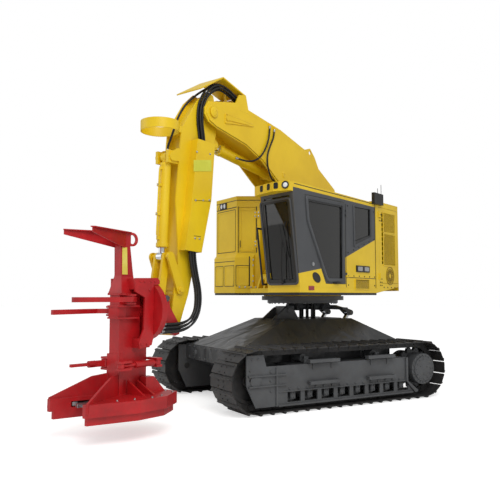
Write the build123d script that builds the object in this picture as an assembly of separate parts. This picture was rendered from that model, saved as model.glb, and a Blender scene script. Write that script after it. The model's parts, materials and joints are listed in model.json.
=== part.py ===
from build123d import *
import math
import os

# Tracked feller buncher with a disc saw head, in millimetres.
# +Z is up, +X the machine's left, -Y its front. The origin is the slewing axis at ground level.
# The upper structure lies square to the axes; the undercarriage is turned under it by track_yaw.

# Undercarriage, in its own straight frame before track_yaw
track_yaw = -22.27
track_gauge = 2645
shoe_width = 710
shoe_count = 46
bar_height = 28
shoe_plate = 14
chain_depth = 105
chain_width = 170
axle_height = 525
idler_y = -1990
sprocket_y = 1586
frame_half_width = 250
frame_plate = 32
beam_bottom = 345
beam_top = 750
beam_front = -1350
beam_rear = 1200
roller_count = 8
roller_radius = 95
roller_first_y = -1270
roller_pitch = 340
carrier_radius = 72
seat_gap = 0.3
idler_shaft_radius = 55
drive_drum_radius = 280
sprocket_teeth = 12

# Centre body under the slewing ring
body_half_width = 1072
hood_half_width = 945
hood_base_z = 960
hood_top_z = 1440
hood_front = -1960
hood_rear = 1750
hood_top_half_width = 560
hood_top_half_length = 760
belly_z = 560
belly_rear = 1270
front_beam_y = -2010
front_beam_depth = 260
front_beam_z = 676

# Levelling gear: pitch pin across, roll pin along the undercarriage
pitch_pin_y = -457
pitch_pin_z = 1600
pitch_pin_radius = 55
roll_pin_z = 1665
roll_tube_radius = 60
roll_tube_rear = 640
level_eye_y = 850
level_eye_z = 1545
level_base_y = 200
level_base_z = 660
level_ram_x = 360
table_bottom = 1735
table_top = 1790
table_radius = 690
slew_ring_top = 1869
slew_ring_radius = 800
pin_clearance = 0.05
side_gap = 6

# Upper structure
deck_bottom = 1925
deck_top = 2010
upper_half_width = 1450
rail_depth = 40
upper_side_rear = 1290
tail_radius = 1940
counterweight_top = 3050
wall = 40

# Cab, on the left
cab_inner_x = 720
cab_rear_y = 273
cab_foot_y = -2310
cab_brow_y = -2489
cab_brow_z = 3405
cab_roof_z = 3625
cab_sweep = 165
light_bar_low = 3470
glass_thickness = 8
door_gap = 6
hinge_out = 12
hinge_radius = 11
hinge_pin = 6
cab_hinge_y = -861

# Engine housing, on the right
engine_inner_x = -370
engine_knee_x = -730
engine_knee_y = -1160
engine_corner_y = -920
engine_inner_y = -890
engine_top = 3780
engine_step = 60

# Housing behind the cab
rear_bay_front = 300
rear_bay_top = 3663
rear_bay_inner_x = 620

# Boom, stick and rams: pins as (y, z)
boom_half_width = 270
boom_plate = 25
doubler_plate = 12
boom_foot = (650, 2650)
boom_foot_pin = 70
boom_eye = (-110, 4666)
boom_eye_radius = 45
hoist_base = (-1000, 2205)
hoist_tip = (-165, 3090)
hoist_x = 150
stick_pivot = (-3000, 4790)
stick_pin = 65
stick_ram_base = (-1050, 4092)
stick_ram_tip = (-2760, 4333)
stick_half_width = 160
stick_plate = 25
tilt_base = (-3760, 3960)
tilt_knuckle = (-3830, 2450)
idler_pin_at = (-3626, 1965)
wrist_pin = (-3725, 1382)
link_pin = (-3926, 1836)
small_pin = 38
bulkheads = (4150, 2640)
nose_bulkhead = -2166
hose_radius = 17

# Felling head
wrist_axis_z = 1670
wrist_front_y = -4215
wrist_rear_y = -4030
wrist_radius = 430
wrist_rear_radius = 270
wrist_cone = 85
turn_gap = 6
stub_radius = 110
stub_length = 108
mast_front = -4700
mast_rear = -4180
mast_half = 100
collar_low = 1560
collar_high = 1905
collar_half = 170
collar_front = -4735
collar_rear = -4395
horn_z = 2750
horn_half = 72
saw_y = -4620
saw_z = 455
saw_radius = 600
saw_play = 20
housing_bottom = 285
skirt_low = 385
housing_top = 545
arm_post_x = 215
arm_post_y = -4590
arm_pin_radius = 28
low_arm_z = 950
low_arm_post = (-215, -4660)


def yz_plate(points, x_low, x_high):
    """A plate whose outline is drawn in the side view."""
    outline = Polyline(*[(y, z) for y, z in points], close=True)
    return extrude(Plane.YZ.offset(x_low) * make_face(outline), amount=x_high - x_low)


def xy_plate(points, z_low, z_high):
    """A plate whose outline is drawn in the plan view."""
    outline = Polyline(*[(x, y) for x, y in points], close=True)
    return extrude(Plane.XY.offset(z_low) * make_face(outline), amount=z_high - z_low)


def block(x_low, x_high, y_low, y_high, z_low, z_high):
    centre = ((x_low + x_high) / 2, (y_low + y_high) / 2, (z_low + z_high) / 2)
    return Pos(*centre) * Box(x_high - x_low, y_high - y_low, z_high - z_low)


def bar(start, end, radius):
    """A round bar from one point to another."""
    along = Vector(*end) - Vector(*start)
    return Solid.make_cylinder(radius, along.length, Plane(origin=start, z_dir=along))


def cross_bar(at, radius, x_low, x_high):
    return bar((x_low, at[0], at[1]), (x_high, at[0], at[1]), radius)


def join(*shapes):
    return Part() + list(shapes)


def strap(first, second, radius_first, radius_second, x_low, x_high):
    """A flat link with round ends about two pins in the side view."""
    y_one, z_one = first
    y_two, z_two = second
    span = math.hypot(y_two - y_one, z_two - z_one)
    lean = math.atan2(z_two - z_one, y_two - y_one)
    turn = math.acos((radius_first - radius_second) / span)
    sides = []
    for side in (1, -1):
        angle = lean + side * turn
        sides.append((y_one + radius_first * math.cos(angle), z_one + radius_first * math.sin(angle)))
        sides.append((y_two + radius_second * math.cos(angle), z_two + radius_second * math.sin(angle)))
    body = yz_plate([sides[0], sides[1], sides[3], sides[2]], x_low, x_high)
    return join(body, cross_bar(first, radius_first, x_low, x_high), cross_bar(second, radius_second,
        x_low, x_high))


def ram(base, tip, x, barrel_radius, rod_radius, eye_radius, eye_half_width, barrel_length, rod_inset, pin):
    """A hydraulic ram: a hollow barrel with its base eye, and a rod with its tip eye."""
    low = Vector(x, base[0], base[1])
    high = Vector(x, tip[0], tip[1])
    along = (high - low).normalized()

    def at(distance):
        return tuple(low + along * distance)

    length = (high - low).length
    bore = barrel_radius - 14
    barrel = join(
        bar(at(eye_radius * 0.6), at(eye_radius + 30), eye_half_width - 4),
        bar(at(eye_radius + 25), at(barrel_length), barrel_radius),
        bar(at(barrel_length - 55), at(barrel_length), barrel_radius + 10),
        cross_bar(base, eye_radius, x - eye_half_width, x + eye_half_width),
    )
    barrel -= bar(at(eye_radius + 40), at(barrel_length - 50), bore)
    barrel -= bar(at(barrel_length - 60), at(barrel_length + 5), rod_radius + pin_clearance)
    barrel -= cross_bar(base, pin + pin_clearance, x - eye_half_width - 1, x + eye_half_width + 1)
    rod = join(
        bar(at(rod_inset), at(length - eye_radius * 0.6), rod_radius),
        bar(at(rod_inset), at(rod_inset + 60), bore - pin_clearance),
        cross_bar(tip, eye_radius, x - eye_half_width, x + eye_half_width),
    )
    return barrel, rod


def hinge(plane, height, body_reach, door_reach):
    """A knuckle hinge: x runs along the wall towards the fixed side, y out of it, z up."""
    third = height / 3
    pin = Cylinder(hinge_pin, height, align=(Align.CENTER, Align.CENTER, Align.MIN))
    knuckle = Cylinder(hinge_radius, third - 2, align=(Align.CENTER, Align.CENTER, Align.MIN))
    body_leaf = Pos(body_reach / 2, 4 - hinge_out, height / 2) * Box(body_reach, 8, height)
    door_leaf = Pos(-door_reach / 2, 4 - hinge_out, height / 2) * Box(door_reach, 8, third - 2)
    fixed = join(pin, knuckle, Pos(0, 0, 2 * third + 2) * knuckle, body_leaf)
    fixed -= Pos(0, 0, height / 2) * Box(2 * hinge_radius + 4, 2 * hinge_radius + 4, third + 2)
    fixed += pin
    moving = join(Pos(0, 0, third + 1) * knuckle, door_leaf)
    moving -= Pos(0, 0, -1) * Cylinder(hinge_pin + pin_clearance, height + 2,
                                       align=(Align.CENTER, Align.CENTER, Align.MIN))
    return plane * fixed, plane * moving


def turned(shape):
    """Undercarriage pieces are built straight, then turned under the upper structure."""
    return Rot(0, 0, track_yaw) * shape


def mirrored(shape):
    return mirror(shape, Plane.YZ)


nodes = {}

# Tracks: one closed loop each, its shoes' bars in the outline
side_x = track_gauge / 2
plate_radius = axle_height - bar_height
straight_run = sprocket_y - idler_y
loop_length = 2 * straight_run + 2 * math.pi * plate_radius


def loop_point(distance, lift):
    """A point on the loop of the shoe plates, lifted outward, measured from the idler's foot."""
    distance = distance % loop_length
    if distance < straight_run:
        return idler_y + distance, axle_height - plate_radius - lift
    distance -= straight_run
    half_turn = math.pi * plate_radius
    if distance < half_turn:
        angle = -math.pi / 2 + distance / plate_radius
        radius = plate_radius + lift
        return sprocket_y + radius * math.cos(angle), axle_height + radius * math.sin(angle)
    distance -= half_turn
    if distance < straight_run:
        return sprocket_y - distance, axle_height + plate_radius + lift
    angle = math.pi / 2 + (distance - straight_run) / plate_radius
    radius = plate_radius + lift
    return idler_y + radius * math.cos(angle), axle_height + radius * math.sin(angle)


def stadium(radius, x_low, x_high):
    """A solid round-ended loop about the idler and the sprocket."""
    middle = block(x_low, x_high, idler_y, sprocket_y, axle_height - radius, axle_height + radius)
    ends = [cross_bar((y, axle_height), radius, x_low, x_high) for y in (idler_y, sprocket_y)]
    return join(middle, *ends)


# Each bar: share of the pitch, lift of the corner
bar_corners = [(0.10, 0.0), (0.14, 1.0), (0.22, 1.0), (0.26, 0.0)]
shoe_pitch = loop_length / shoe_count
outline = []
for shoe in range(shoe_count):
    for share, lift in bar_corners:
        outline.append(loop_point((shoe + share) * shoe_pitch, lift * bar_height))
chain_outer = plate_radius - shoe_plate
chain_inner = chain_outer - chain_depth
shoes = yz_plate(outline, side_x - shoe_width / 2, side_x + shoe_width / 2)
shoes -= stadium(chain_outer, side_x - shoe_width / 2 - 1, side_x + shoe_width / 2 + 1)
chain = stadium(chain_outer + 2, side_x - chain_width / 2, side_x + chain_width / 2)
chain -= stadium(chain_inner, side_x - chain_width / 2 - 1, side_x + chain_width / 2 + 1)
track = join(shoes, chain)
nodes["track_left"] = turned(track)
nodes["track_right"] = turned(mirrored(track))

# Track frames: a box beam between two plates with windows for the rollers
outer_x = side_x + frame_half_width
inner_x = side_x - frame_half_width
frame_outline = [
    (-2165, 935), (-1850, 935), (-1800, beam_top), (1230, beam_top), (1230, 300),
    (1400, 112), (-2000, 112), (-2165, 460),
]
inner_outline = [
    (-2165, 935), (-1850, 935), (-1800, beam_top), (1500, beam_top), (1500, 300),
    (1400, 112), (-2000, 112), (-2165, 460),
]
beam = block(inner_x + frame_plate, outer_x - frame_plate, beam_front, beam_rear, beam_bottom, beam_top)
frame = join(
    beam,
    yz_plate(frame_outline, outer_x - frame_plate, outer_x),
    yz_plate(inner_outline, inner_x, inner_x + frame_plate),
    cross_bar((sprocket_y, axle_height), 300, inner_x - 60, inner_x + frame_plate),
)
for roller in range(roller_count):
    centre = roller_first_y + roller * roller_pitch
    frame -= block(inner_x - 1, outer_x + 1, centre - 130, centre + 130, 160, 325)
frame -= cross_bar((idler_y, axle_height), idler_shaft_radius + pin_clearance, inner_x - 1, outer_x + 1)
# Outside of the frame: y from, y to, z from, z to, how far out
frame_ribs = [
    (-2130, -1430, 598, 620, 34),
    (-2130, -1430, 434, 456, 34),
    (-1625, -1590, 112, 730, 22),
    (-1590, 1330, 108, 136, 40),
    (1178, 1222, 325, 745, 30),
    (-1590, 1178, 326, 345, 16),
]
for y_low, y_high, z_low, z_high, out in frame_ribs:
    frame += block(outer_x - 5, outer_x + out, y_low, y_high, z_low, z_high)
frame += yz_plate([(1178, 325), (1222, 325), (1470, 140), (1440, 112), (1390, 112)], outer_x - 20,
    outer_x + 30)
frame -= cross_bar((-2085, 545), 26, outer_x - 45, outer_x + 1)
nodes["track_frames"] = turned(join(frame, mirrored(frame)))

# Front idlers, on a shaft through the frame's plates
idler = join(
    cross_bar((idler_y, axle_height), chain_inner - seat_gap, side_x - 80, side_x + 80),
    cross_bar((idler_y, axle_height), idler_shaft_radius, inner_x, outer_x + 18),
    cross_bar((idler_y, axle_height), 120, inner_x + frame_plate + 3, outer_x - frame_plate - 3),
)
for side in (side_x - 81, side_x + 41):
    ring = cross_bar((idler_y, axle_height), chain_inner - 60, side, side + 40)
    ring -= cross_bar((idler_y, axle_height), 150, side - 1, side + 41)
    idler -= ring
nodes["idlers"] = turned(join(idler, mirrored(idler)))

# Drive sprockets with their final drive drums
tooth_root = chain_inner - 62
# Each tooth: share of its pitch, radius of the corner
tooth_corners = [
    (0.12, tooth_root), (0.34, chain_inner - seat_gap), (0.66, chain_inner - seat_gap), (0.88, tooth_root),
]
sprocket_outline = []
for tooth in range(sprocket_teeth):
    for share, radius in tooth_corners:
        angle = 2 * math.pi * (tooth + share) / sprocket_teeth
        y = sprocket_y + radius * math.cos(angle)
        z = axle_height + radius * math.sin(angle)
        sprocket_outline.append((y, z))
sprocket = join(
    yz_plate(sprocket_outline, side_x - 35, side_x + 35),
    cross_bar((sprocket_y, axle_height), drive_drum_radius, inner_x + frame_plate, outer_x + 40),
    cross_bar((sprocket_y, axle_height), drive_drum_radius - 60, outer_x + 40, outer_x + 58),
)
nodes["sprockets"] = turned(join(sprocket, mirrored(sprocket)))

# Bottom rollers hang under the beam on end brackets; carrier rollers stand on it
rollers = []
roller_z = axle_height - chain_inner + seat_gap + roller_radius
for roller in range(roller_count):
    centre = roller_first_y + roller * roller_pitch
    roller_body = cross_bar((centre, roller_z), roller_radius - 8, side_x - 150, side_x + 150)
    tread = cross_bar((centre, roller_z), roller_radius, side_x - 95, side_x + 95)
    shaft = cross_bar((centre, roller_z), 34, side_x - 215, side_x + 215)
    brackets = [block(x, x + 40, centre - 48, centre + 48, roller_z - 45,
        beam_bottom) for x in (side_x - 214, side_x + 174)]
    rollers.append(join(roller_body, tread, shaft, *brackets))
carrier_z = axle_height + chain_inner - seat_gap - carrier_radius
for centre in (-980, 560):
    carrier = cross_bar((centre, carrier_z), carrier_radius, side_x - 95, side_x + 95)
    shaft = cross_bar((centre, carrier_z), 26, side_x - 190, side_x + 190)
    posts = [block(x, x + 36, centre - 42, centre + 42, beam_top, carrier_z + 40) for x in (side_x - 188,
        side_x + 152)]
    rollers.append(join(carrier, shaft, *posts))
nodes["track_rollers"] = turned(join(*rollers, *[mirrored(shape) for shape in rollers]))

# Step guards on the frames' outer sides: y, z of each one's middle
step_places = [(-700, 795), (-694, 445), (547, 800), (559, 442)]
steps = []
for centre, height in step_places:
    bar_solid = block(outer_x, outer_x + 92, centre - 310, centre + 310, height - 28, height + 28)
    bar_solid -= block(outer_x + 14, outer_x + 78, centre - 280, centre + 280, height - 14, height + 29)
    if height > beam_top:
        for y in (centre - 200, centre + 180):
            bar_solid += block(outer_x, outer_x + 14, y, y + 20, beam_top - 90, height)
            bar_solid += block(outer_x - 25, outer_x + 1, y, y + 20, beam_top + seat_gap, height - 28)
    steps.append(bar_solid)
nodes["track_steps"] = turned(join(*steps, *[mirrored(shape) for shape in steps]))

# Centre body: belly box, front beam and the hood that slopes up to the slewing gear
base_wire = Plane.XY.offset(hood_base_z) * Pos(0, (hood_front + hood_rear) / 2) * Rectangle(
    2 * hood_half_width, hood_rear - hood_front)
top_wire = Plane.XY.offset(hood_top_z) * Rectangle(2 * hood_top_half_width, 2 * hood_top_half_length)
hood = loft([base_wire, top_wire], ruled=True)
hood_rim = block(-hood_half_width, hood_half_width, hood_front, hood_rear, hood_base_z - 40, hood_base_z)
belly = block(-body_half_width, body_half_width, hood_front + 250, belly_rear, belly_z, hood_base_z - 20)
front_beam = block(
    -body_half_width, body_half_width, front_beam_y, front_beam_y + front_beam_depth, front_beam_z,
    hood_base_z)
car_body = join(hood, hood_rim, belly, front_beam)
bracket_outline = [
    (-880, hood_top_z - 60), (-550, pitch_pin_z + 40), (-500, pitch_pin_z + 62), (-414, pitch_pin_z + 62),
    (-360, pitch_pin_z + 40), (-210, hood_top_z - 60),
]
for x_low in (-215, 155):
    car_body += yz_plate(bracket_outline, x_low, x_low + 60)
for x in (-level_ram_x, level_ram_x):
    car_body -= block(x - 118, x + 118, level_base_y - 110, level_eye_y + 210, belly_z + 30, hood_top_z + 50)
    car_body += block(x - 118, x - 60, level_base_y - 55, level_base_y + 55, belly_z + 30, level_base_z + 45)
    car_body += block(x + 60, x + 118, level_base_y - 55, level_base_y + 55, belly_z + 30, level_base_z + 45)
    car_body += cross_bar((level_base_y, level_base_z), 45, x - 118, x + 118)
car_body += cross_bar((pitch_pin_y, pitch_pin_z), pitch_pin_radius, -230, 230)
nodes["car_body"] = turned(car_body)

# Levelling cross: front lug on the pitch pin, roll tube, tapered rear beam with the rams' ears
cross = join(
    block(-145, 145, pitch_pin_y - 75, pitch_pin_y + 160, pitch_pin_z - 75, pitch_pin_z + 75),
    bar((0, pitch_pin_y + 100, roll_pin_z), (0, roll_tube_rear, roll_pin_z), roll_tube_radius),
)
rear_beam_outline = [
    (-460, 1602), (460, 1602), (460, 1645), (300, 1650), (90, 1688), (-90, 1688), (-300, 1650), (-460, 1645),
]
rear_beam = extrude(
    Plane.XZ.offset(-roll_tube_rear) * make_face(Polyline(*rear_beam_outline, close=True)), amount=-120)
cross = join(cross, rear_beam)
cross -= cross_bar((pitch_pin_y, pitch_pin_z), pitch_pin_radius + pin_clearance, -146, 146)
for x in (-level_ram_x, level_ram_x):
    for low in (x - 60 - 34, x + 60):
        ear = strap((level_eye_y, level_eye_z), (roll_tube_rear + 70, 1623), 52, 22, low, low + 34)
        cross += ear
    for low in (x - 106, x + 94):
        cross += cross_bar((level_eye_y, level_eye_z), 38, low, low + 12)
nodes["level_cross"] = turned(cross)

# Levelling table: hangers on the roll tube, table disc and slewing ring
table = join(
    Pos(0, 0, (table_bottom + table_top) / 2) * Cylinder(table_radius, table_top - table_bottom),
    Pos(0, 0, (table_top + slew_ring_top) / 2) * Cylinder(slew_ring_radius, slew_ring_top - table_top),
)
hanger_outline = [(-240, table_bottom + 5), (-95, 1590), (95, 1590), (240, table_bottom + 5)]
for low in (-230, 380):
    hanger = extrude(Plane.XZ.offset(-low) * make_face(Polyline(*hanger_outline, close=True)), amount=-90)
    table += hanger
table -= bar((0, -240, roll_pin_z), (0, 480, roll_pin_z), roll_tube_radius + pin_clearance)
nodes["level_table"] = turned(table)

# Levelling rams
barrels = []
rods = []
for x in (-level_ram_x, level_ram_x):
    barrel, rod = ram(
        (level_base_y, level_base_z), (level_eye_y, level_eye_z), x, 75, 45, 60, 50, 880, 260, 45)
    barrels.append(barrel)
    rods.append(rod)
nodes["level_ram_barrels"] = turned(join(*barrels))
nodes["level_ram_rods"] = turned(join(*rods))

# Supply hoses from the centre body up to the table
hoses = []
for hose in range(10):
    angle = math.radians(36 * hose + 18)
    x = 210 * math.cos(angle)
    y = 110 + 95 * math.sin(angle)
    if abs(x) > 100:
        hoses.append(bar((x, y, hood_top_z + seat_gap), (x, y, table_bottom - seat_gap), 22))
nodes["swivel_hoses"] = turned(join(*hoses))

# Upper deck: plan outline and the boom's and rams' foot brackets
deck_outline = [
    (upper_half_width, cab_foot_y), (cab_inner_x, cab_foot_y + cab_sweep), (560, -1250), (-330, -1250),
    (engine_inner_x, engine_inner_y), (-450, -950 - engine_step), (engine_knee_x,
    engine_knee_y - engine_step),
    (-upper_half_width, engine_corner_y - engine_step),
    (-upper_half_width, upper_side_rear), (upper_half_width, upper_side_rear),
]
deck = join(
    xy_plate(deck_outline, deck_bottom, deck_top),
    Pos(0, 0, (slew_ring_top + deck_bottom) / 2) * Cylinder(760, deck_bottom - slew_ring_top),
)
for x in (-boom_half_width - 56, boom_half_width + side_gap):
    foot_outline = [(200, deck_top), (470, boom_foot[1] + 60), (560, boom_foot[1] + 140), (740,
        boom_foot[1] + 140),
                    (830, boom_foot[1] + 60), (1050, deck_top)]
    deck += yz_plate(foot_outline, x, x + 50)
deck += cross_bar(boom_foot, boom_foot_pin, -boom_half_width - 70, boom_half_width + 70)
for x in (-hoist_x, hoist_x):
    for low in (x - 55 - 36, x + 55):
        deck += yz_plate([(-1180, deck_top), (-1060, hoist_base[1] + 60), (-940, hoist_base[1] + 60),
            (-820, deck_top)],
                         low, low + 36)
deck += cross_bar(hoist_base, small_pin + 12, -hoist_x - 91, hoist_x + 91)
tail_rise = yz_plate(
    [(320, 1800), (320, deck_bottom), (upper_side_rear + 10, deck_top + wall), (upper_side_rear + 10, 1800)],
    rear_bay_inner_x, upper_half_width + 10)
deck -= tail_rise
nodes["main_deck"] = deck

# Rail under the deck's edge
deck_face = make_face(Polyline(*deck_outline, close=True))
rail = extrude(
    Plane.XY.offset(deck_bottom - rail_depth) * offset(deck_face, -12, kind=Kind.INTERSECTION),
    amount=rail_depth - seat_gap)
rail -= extrude(
    Plane.XY.offset(deck_bottom - rail_depth - 1) * offset(deck_face, -75, kind=Kind.INTERSECTION),
    amount=rail_depth + 2)
rail -= block(rear_bay_inner_x, 2000, 320, 2000, 1500, 2500)
rail -= Pos(0, 0, 1900) * Cylinder(slew_ring_radius + 10, 200)
nodes["deck_rail"] = rail

# Counterweight: the tail's arc about the slewing axis
tail = Pos(0, 0, (deck_top - 40 + counterweight_top) / 2) * Cylinder(tail_radius,
    counterweight_top - deck_top + 40)
tail -= block(-2500, 2500, -2500, upper_side_rear + seat_gap, 0, 6000)
nodes["counterweight"] = tail

# Cab shell: hollow, windows and the door's way cut through its walls
cab_profile = [
    (cab_foot_y, deck_top), (cab_brow_y, cab_brow_z), (cab_brow_y, cab_roof_z), (cab_rear_y,
    cab_roof_z - 12),
    (cab_rear_y, deck_top),
]
cab_inner_profile = [
    (cab_foot_y + wall, deck_top + wall), (cab_brow_y + wall, cab_brow_z), (cab_brow_y + wall,
    cab_roof_z - 70),
    (cab_rear_y - wall, cab_roof_z - 70), (cab_rear_y - wall, deck_top + wall),
]
sweep_angle = math.degrees(math.atan2(cab_sweep, upper_half_width - cab_inner_x))


def behind_front(extra):
    """The half space in front of the cab's swept windscreen plane, moved back by extra."""
    cutter = Box(2000, 1000, 4000, align=(Align.CENTER, Align.MAX, Align.MIN))
    lean = math.degrees(math.atan2(cab_brow_y - cab_foot_y, cab_brow_z - deck_top))
    corner = Pos(upper_half_width, cab_foot_y + extra, deck_top)
    return corner * Rot(0, 0, -sweep_angle) * Rot(-lean, 0, 0) * cutter


cab_outer = yz_plate(cab_profile, cab_inner_x, upper_half_width)
cab_outer -= behind_front(0)
cab_void = yz_plate(cab_inner_profile, cab_inner_x + wall, upper_half_width - wall)
cab_void -= behind_front(wall)
cab = cab_outer - cab_void
door_way = [(-2165, 3462), (-2110, 3030), (-1536, 2070), (-869, 2070), (-904, 3485)]
rear_side_window = [(-565, 3470), (80, 3490), (80, 2990), (-540, 2830)]
right_window = [(-2080, 2420), (-2200, 3440), (-700, 3460), (-600, 2760), (-1250, 2420)]
cab -= yz_plate(door_way, upper_half_width - wall - 1, upper_half_width + 1)
cab -= yz_plate(rear_side_window, upper_half_width - wall - 1, upper_half_width + 1)
cab -= yz_plate(right_window, cab_inner_x - 1, cab_inner_x + wall + 1)
windscreen_low = 2120
windscreen_high = 3420
cab -= block(cab_inner_x + 75, upper_half_width - 75, -2700, cab_foot_y + 330, windscreen_low,
    windscreen_high)
nodes["cab_shell"] = cab

# Cab glass: windscreen and side panes, each let into its wall
pane_band = behind_front(wall / 2 + glass_thickness) - behind_front(wall / 2)
windscreen = pane_band & block(
    cab_inner_x + 75 + seat_gap, upper_half_width - 75 - seat_gap, -2700, cab_foot_y + 330,
    windscreen_low + seat_gap, windscreen_high - seat_gap)
pane_x = upper_half_width - wall / 2 - glass_thickness / 2


def pane(points, x_low):
    """A flat pane filling an opening in the side view, less a small clearance."""
    face = make_face(Polyline(*points, close=True))
    smaller = offset(face, -seat_gap, kind=Kind.INTERSECTION)
    return extrude(Plane.YZ.offset(x_low) * smaller, amount=glass_thickness)


nodes["cab_glass"] = join(
    windscreen, pane(rear_side_window, pane_x), pane(right_window,
    cab_inner_x + wall / 2 - glass_thickness / 2))

# Cab door: a panel in the door's way with its own window
door_face = offset(make_face(Polyline(*door_way, close=True)), -door_gap, kind=Kind.INTERSECTION)
door_hole = offset(make_face(Polyline(*door_way, close=True)), -95, kind=Kind.INTERSECTION)
door_x = upper_half_width - wall
door = extrude(Plane.YZ.offset(door_x) * door_face, amount=wall)
door -= extrude(Plane.YZ.offset(door_x - 1) * door_hole, amount=wall + 2)
for height in (2190, 3240):
    origin = (upper_half_width + hinge_out, cab_hinge_y, height + 120)
    fixed, moving = hinge(Plane(origin=origin, x_dir=(0, 1, 0), z_dir=(0, 0, -1)), 120, 70, 75)
    nodes["cab_shell"] += fixed
    door += moving
nodes["cab_door"] = door
door_pane = offset(make_face(Polyline(*door_way, close=True)), -95 - seat_gap, kind=Kind.INTERSECTION)
nodes["cab_door_glass"] = extrude(Plane.YZ.offset(pane_x) * door_pane, amount=glass_thickness)

# Operator's chair: cushion, back and pedestal
seat_x = (cab_inner_x + upper_half_width) / 2
seat = join(
    block(seat_x - 120, seat_x + 120, -1250, -900, deck_top + wall, 2330),
    block(seat_x - 230, seat_x + 230, -1420, -880, 2330, 2440),
    yz_plate([(-930, 2440), (-860, 3080), (-740, 3080), (-800, 2440)], seat_x - 220, seat_x + 220),
)
nodes["operator_seat"] = seat

# Engine housing: hollow, with a door's way in the front face by the boom
engine_plan = [
    (engine_inner_x, engine_inner_y), (engine_knee_x, engine_knee_y), (-upper_half_width, engine_corner_y),
    (-upper_half_width, upper_side_rear), (engine_inner_x, upper_side_rear),
]
plan_face = make_face(Polyline(*engine_plan, close=True))
inner_plan = offset(plan_face, -wall, kind=Kind.INTERSECTION)
engine_housing = extrude(Plane.XY.offset(deck_top) * plan_face, amount=engine_top - deck_top)
engine_housing -= extrude(Plane.XY.offset(deck_top + wall) * inner_plan,
    amount=engine_top - deck_top - 2 * wall)
front_angle = math.atan2(engine_inner_y - engine_knee_y, engine_inner_x - engine_knee_x)
front_length = math.hypot(engine_inner_y - engine_knee_y, engine_inner_x - engine_knee_x)
service_low = 2700
service_high = 3560
front_plane = Plane(
    origin=(engine_knee_x, engine_knee_y, 0), x_dir=(math.cos(front_angle), math.sin(front_angle), 0),
    z_dir=(math.sin(front_angle), -math.cos(front_angle), 0))
service_from = 40
service_to = front_length - 75


def on_front(u_low, u_high, z_low, z_high, depth_low, depth_high):
    """A block on the housing's slanted front face: along it, up, and out of it."""
    centre = ((u_low + u_high) / 2, (z_low + z_high) / 2, (depth_low + depth_high) / 2)
    return front_plane * Pos(*centre) * Box(u_high - u_low, z_high - z_low, depth_high - depth_low)


engine_housing -= on_front(service_from, service_to, service_low, service_high, -wall - 20, 20)
# The lower box stands proud of the front faces, under a sloped top, and a groove marks the cap
lower_plan = [
    (-450, -950 - engine_step), (engine_knee_x, engine_knee_y - engine_step),
    (-upper_half_width, engine_corner_y - engine_step), (-upper_half_width, -870), (-450, -870),
]
upper_plan = [
    (-450, -950), (engine_knee_x, engine_knee_y), (-upper_half_width, engine_corner_y),
    (-upper_half_width, -870), (-450, -870),
]
lower_box = xy_plate(lower_plan, deck_top, 2600)
slope_faces = [
    Plane.XY.offset(z) * make_face(Polyline(*plan, close=True)) for plan, z in ((lower_plan, 2600),
    (upper_plan, 2665))]
lower_box += loft(slope_faces, ruled=True)
lower_box -= extrude(Plane.XY.offset(deck_top - 1) * inner_plan, amount=800)
engine_housing += lower_box
groove = extrude(Plane.XY.offset(3560) * offset(plan_face, 10, kind=Kind.INTERSECTION), amount=9)
groove -= extrude(Plane.XY.offset(3550) * offset(plan_face, -8, kind=Kind.INTERSECTION), amount=30)
engine_housing -= groove
nodes["engine_housing"] = engine_housing
service_door = on_front(
    service_from + door_gap, service_to - door_gap, service_low + door_gap, service_high - door_gap, -30, 0)
for height in (service_low + 90, service_high - 210):
    corner = front_plane * Pos(service_to + 2, 0, hinge_out)
    origin = (corner.position.X, corner.position.Y, height + 120)
    x_dir = (math.cos(front_angle), math.sin(front_angle), 0)
    fixed, moving = hinge(Plane(origin=origin, x_dir=x_dir, z_dir=(0, 0, -1)), 120, 40, 50)
    nodes["engine_housing"] += fixed
    service_door += moving
nodes["service_door"] = service_door
nodes["engine_block"] = block(-1250, -560, -450, 650, deck_top + wall + seat_gap, 2950)

# Housing behind the cab, with the cooling intake's door in its left side
rear_bay = block(rear_bay_inner_x, upper_half_width, rear_bay_front, upper_side_rear, deck_top, rear_bay_top)
rear_bay -= block(
    rear_bay_inner_x + wall, upper_half_width - wall, rear_bay_front + wall, upper_side_rear - wall,
    deck_top + 2 * wall, rear_bay_top - wall)
rear_bay -= tail_rise
grille_low = 2110
grille_high = 3560
grille_front = 440
grille_rear = 1240
rear_bay -= block(upper_half_width - wall - 1, upper_half_width + 1, grille_front, grille_rear,
    grille_low, grille_high)
nodes["rear_housing"] = rear_bay
grille_door = block(
    upper_half_width - wall, upper_half_width, grille_front + door_gap, grille_rear - door_gap,
    grille_low + door_gap,
    grille_high - door_gap)
grille_door -= block(
    upper_half_width - wall - 1, upper_half_width + 1, grille_front + 110, grille_rear - 90, 2480,
    grille_high - 90)
for slat in range(11):
    height = 2530 + slat * 92
    grille_door += block(
        upper_half_width - wall + 8, upper_half_width - 8, grille_front + 100, grille_rear - 80, height,
        height + 26)
for height in (2180, 3360):
    plane = Plane(origin=(upper_half_width + hinge_out, grille_front - 4, height), x_dir=(0, -1, 0),
        z_dir=(0, 0, 1))
    fixed, moving = hinge(plane, 120, 50, 60)
    nodes["rear_housing"] += fixed
    grille_door += moving
nodes["grille_door"] = grille_door

# Box with two aerials on the cab's rear top corner
box_x = upper_half_width + seat_gap
antenna_box = block(box_x, box_x + 62, 150, 520, 3590, 3800)
antenna_box += bar((box_x + 30, 345, 3795), (box_x + 30, 345, 3900), 5)
antenna_box += bar((box_x + 30, 492, 3795), (box_x + 30, 492, 3990), 5)
nodes["antenna_box"] = antenna_box

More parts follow.
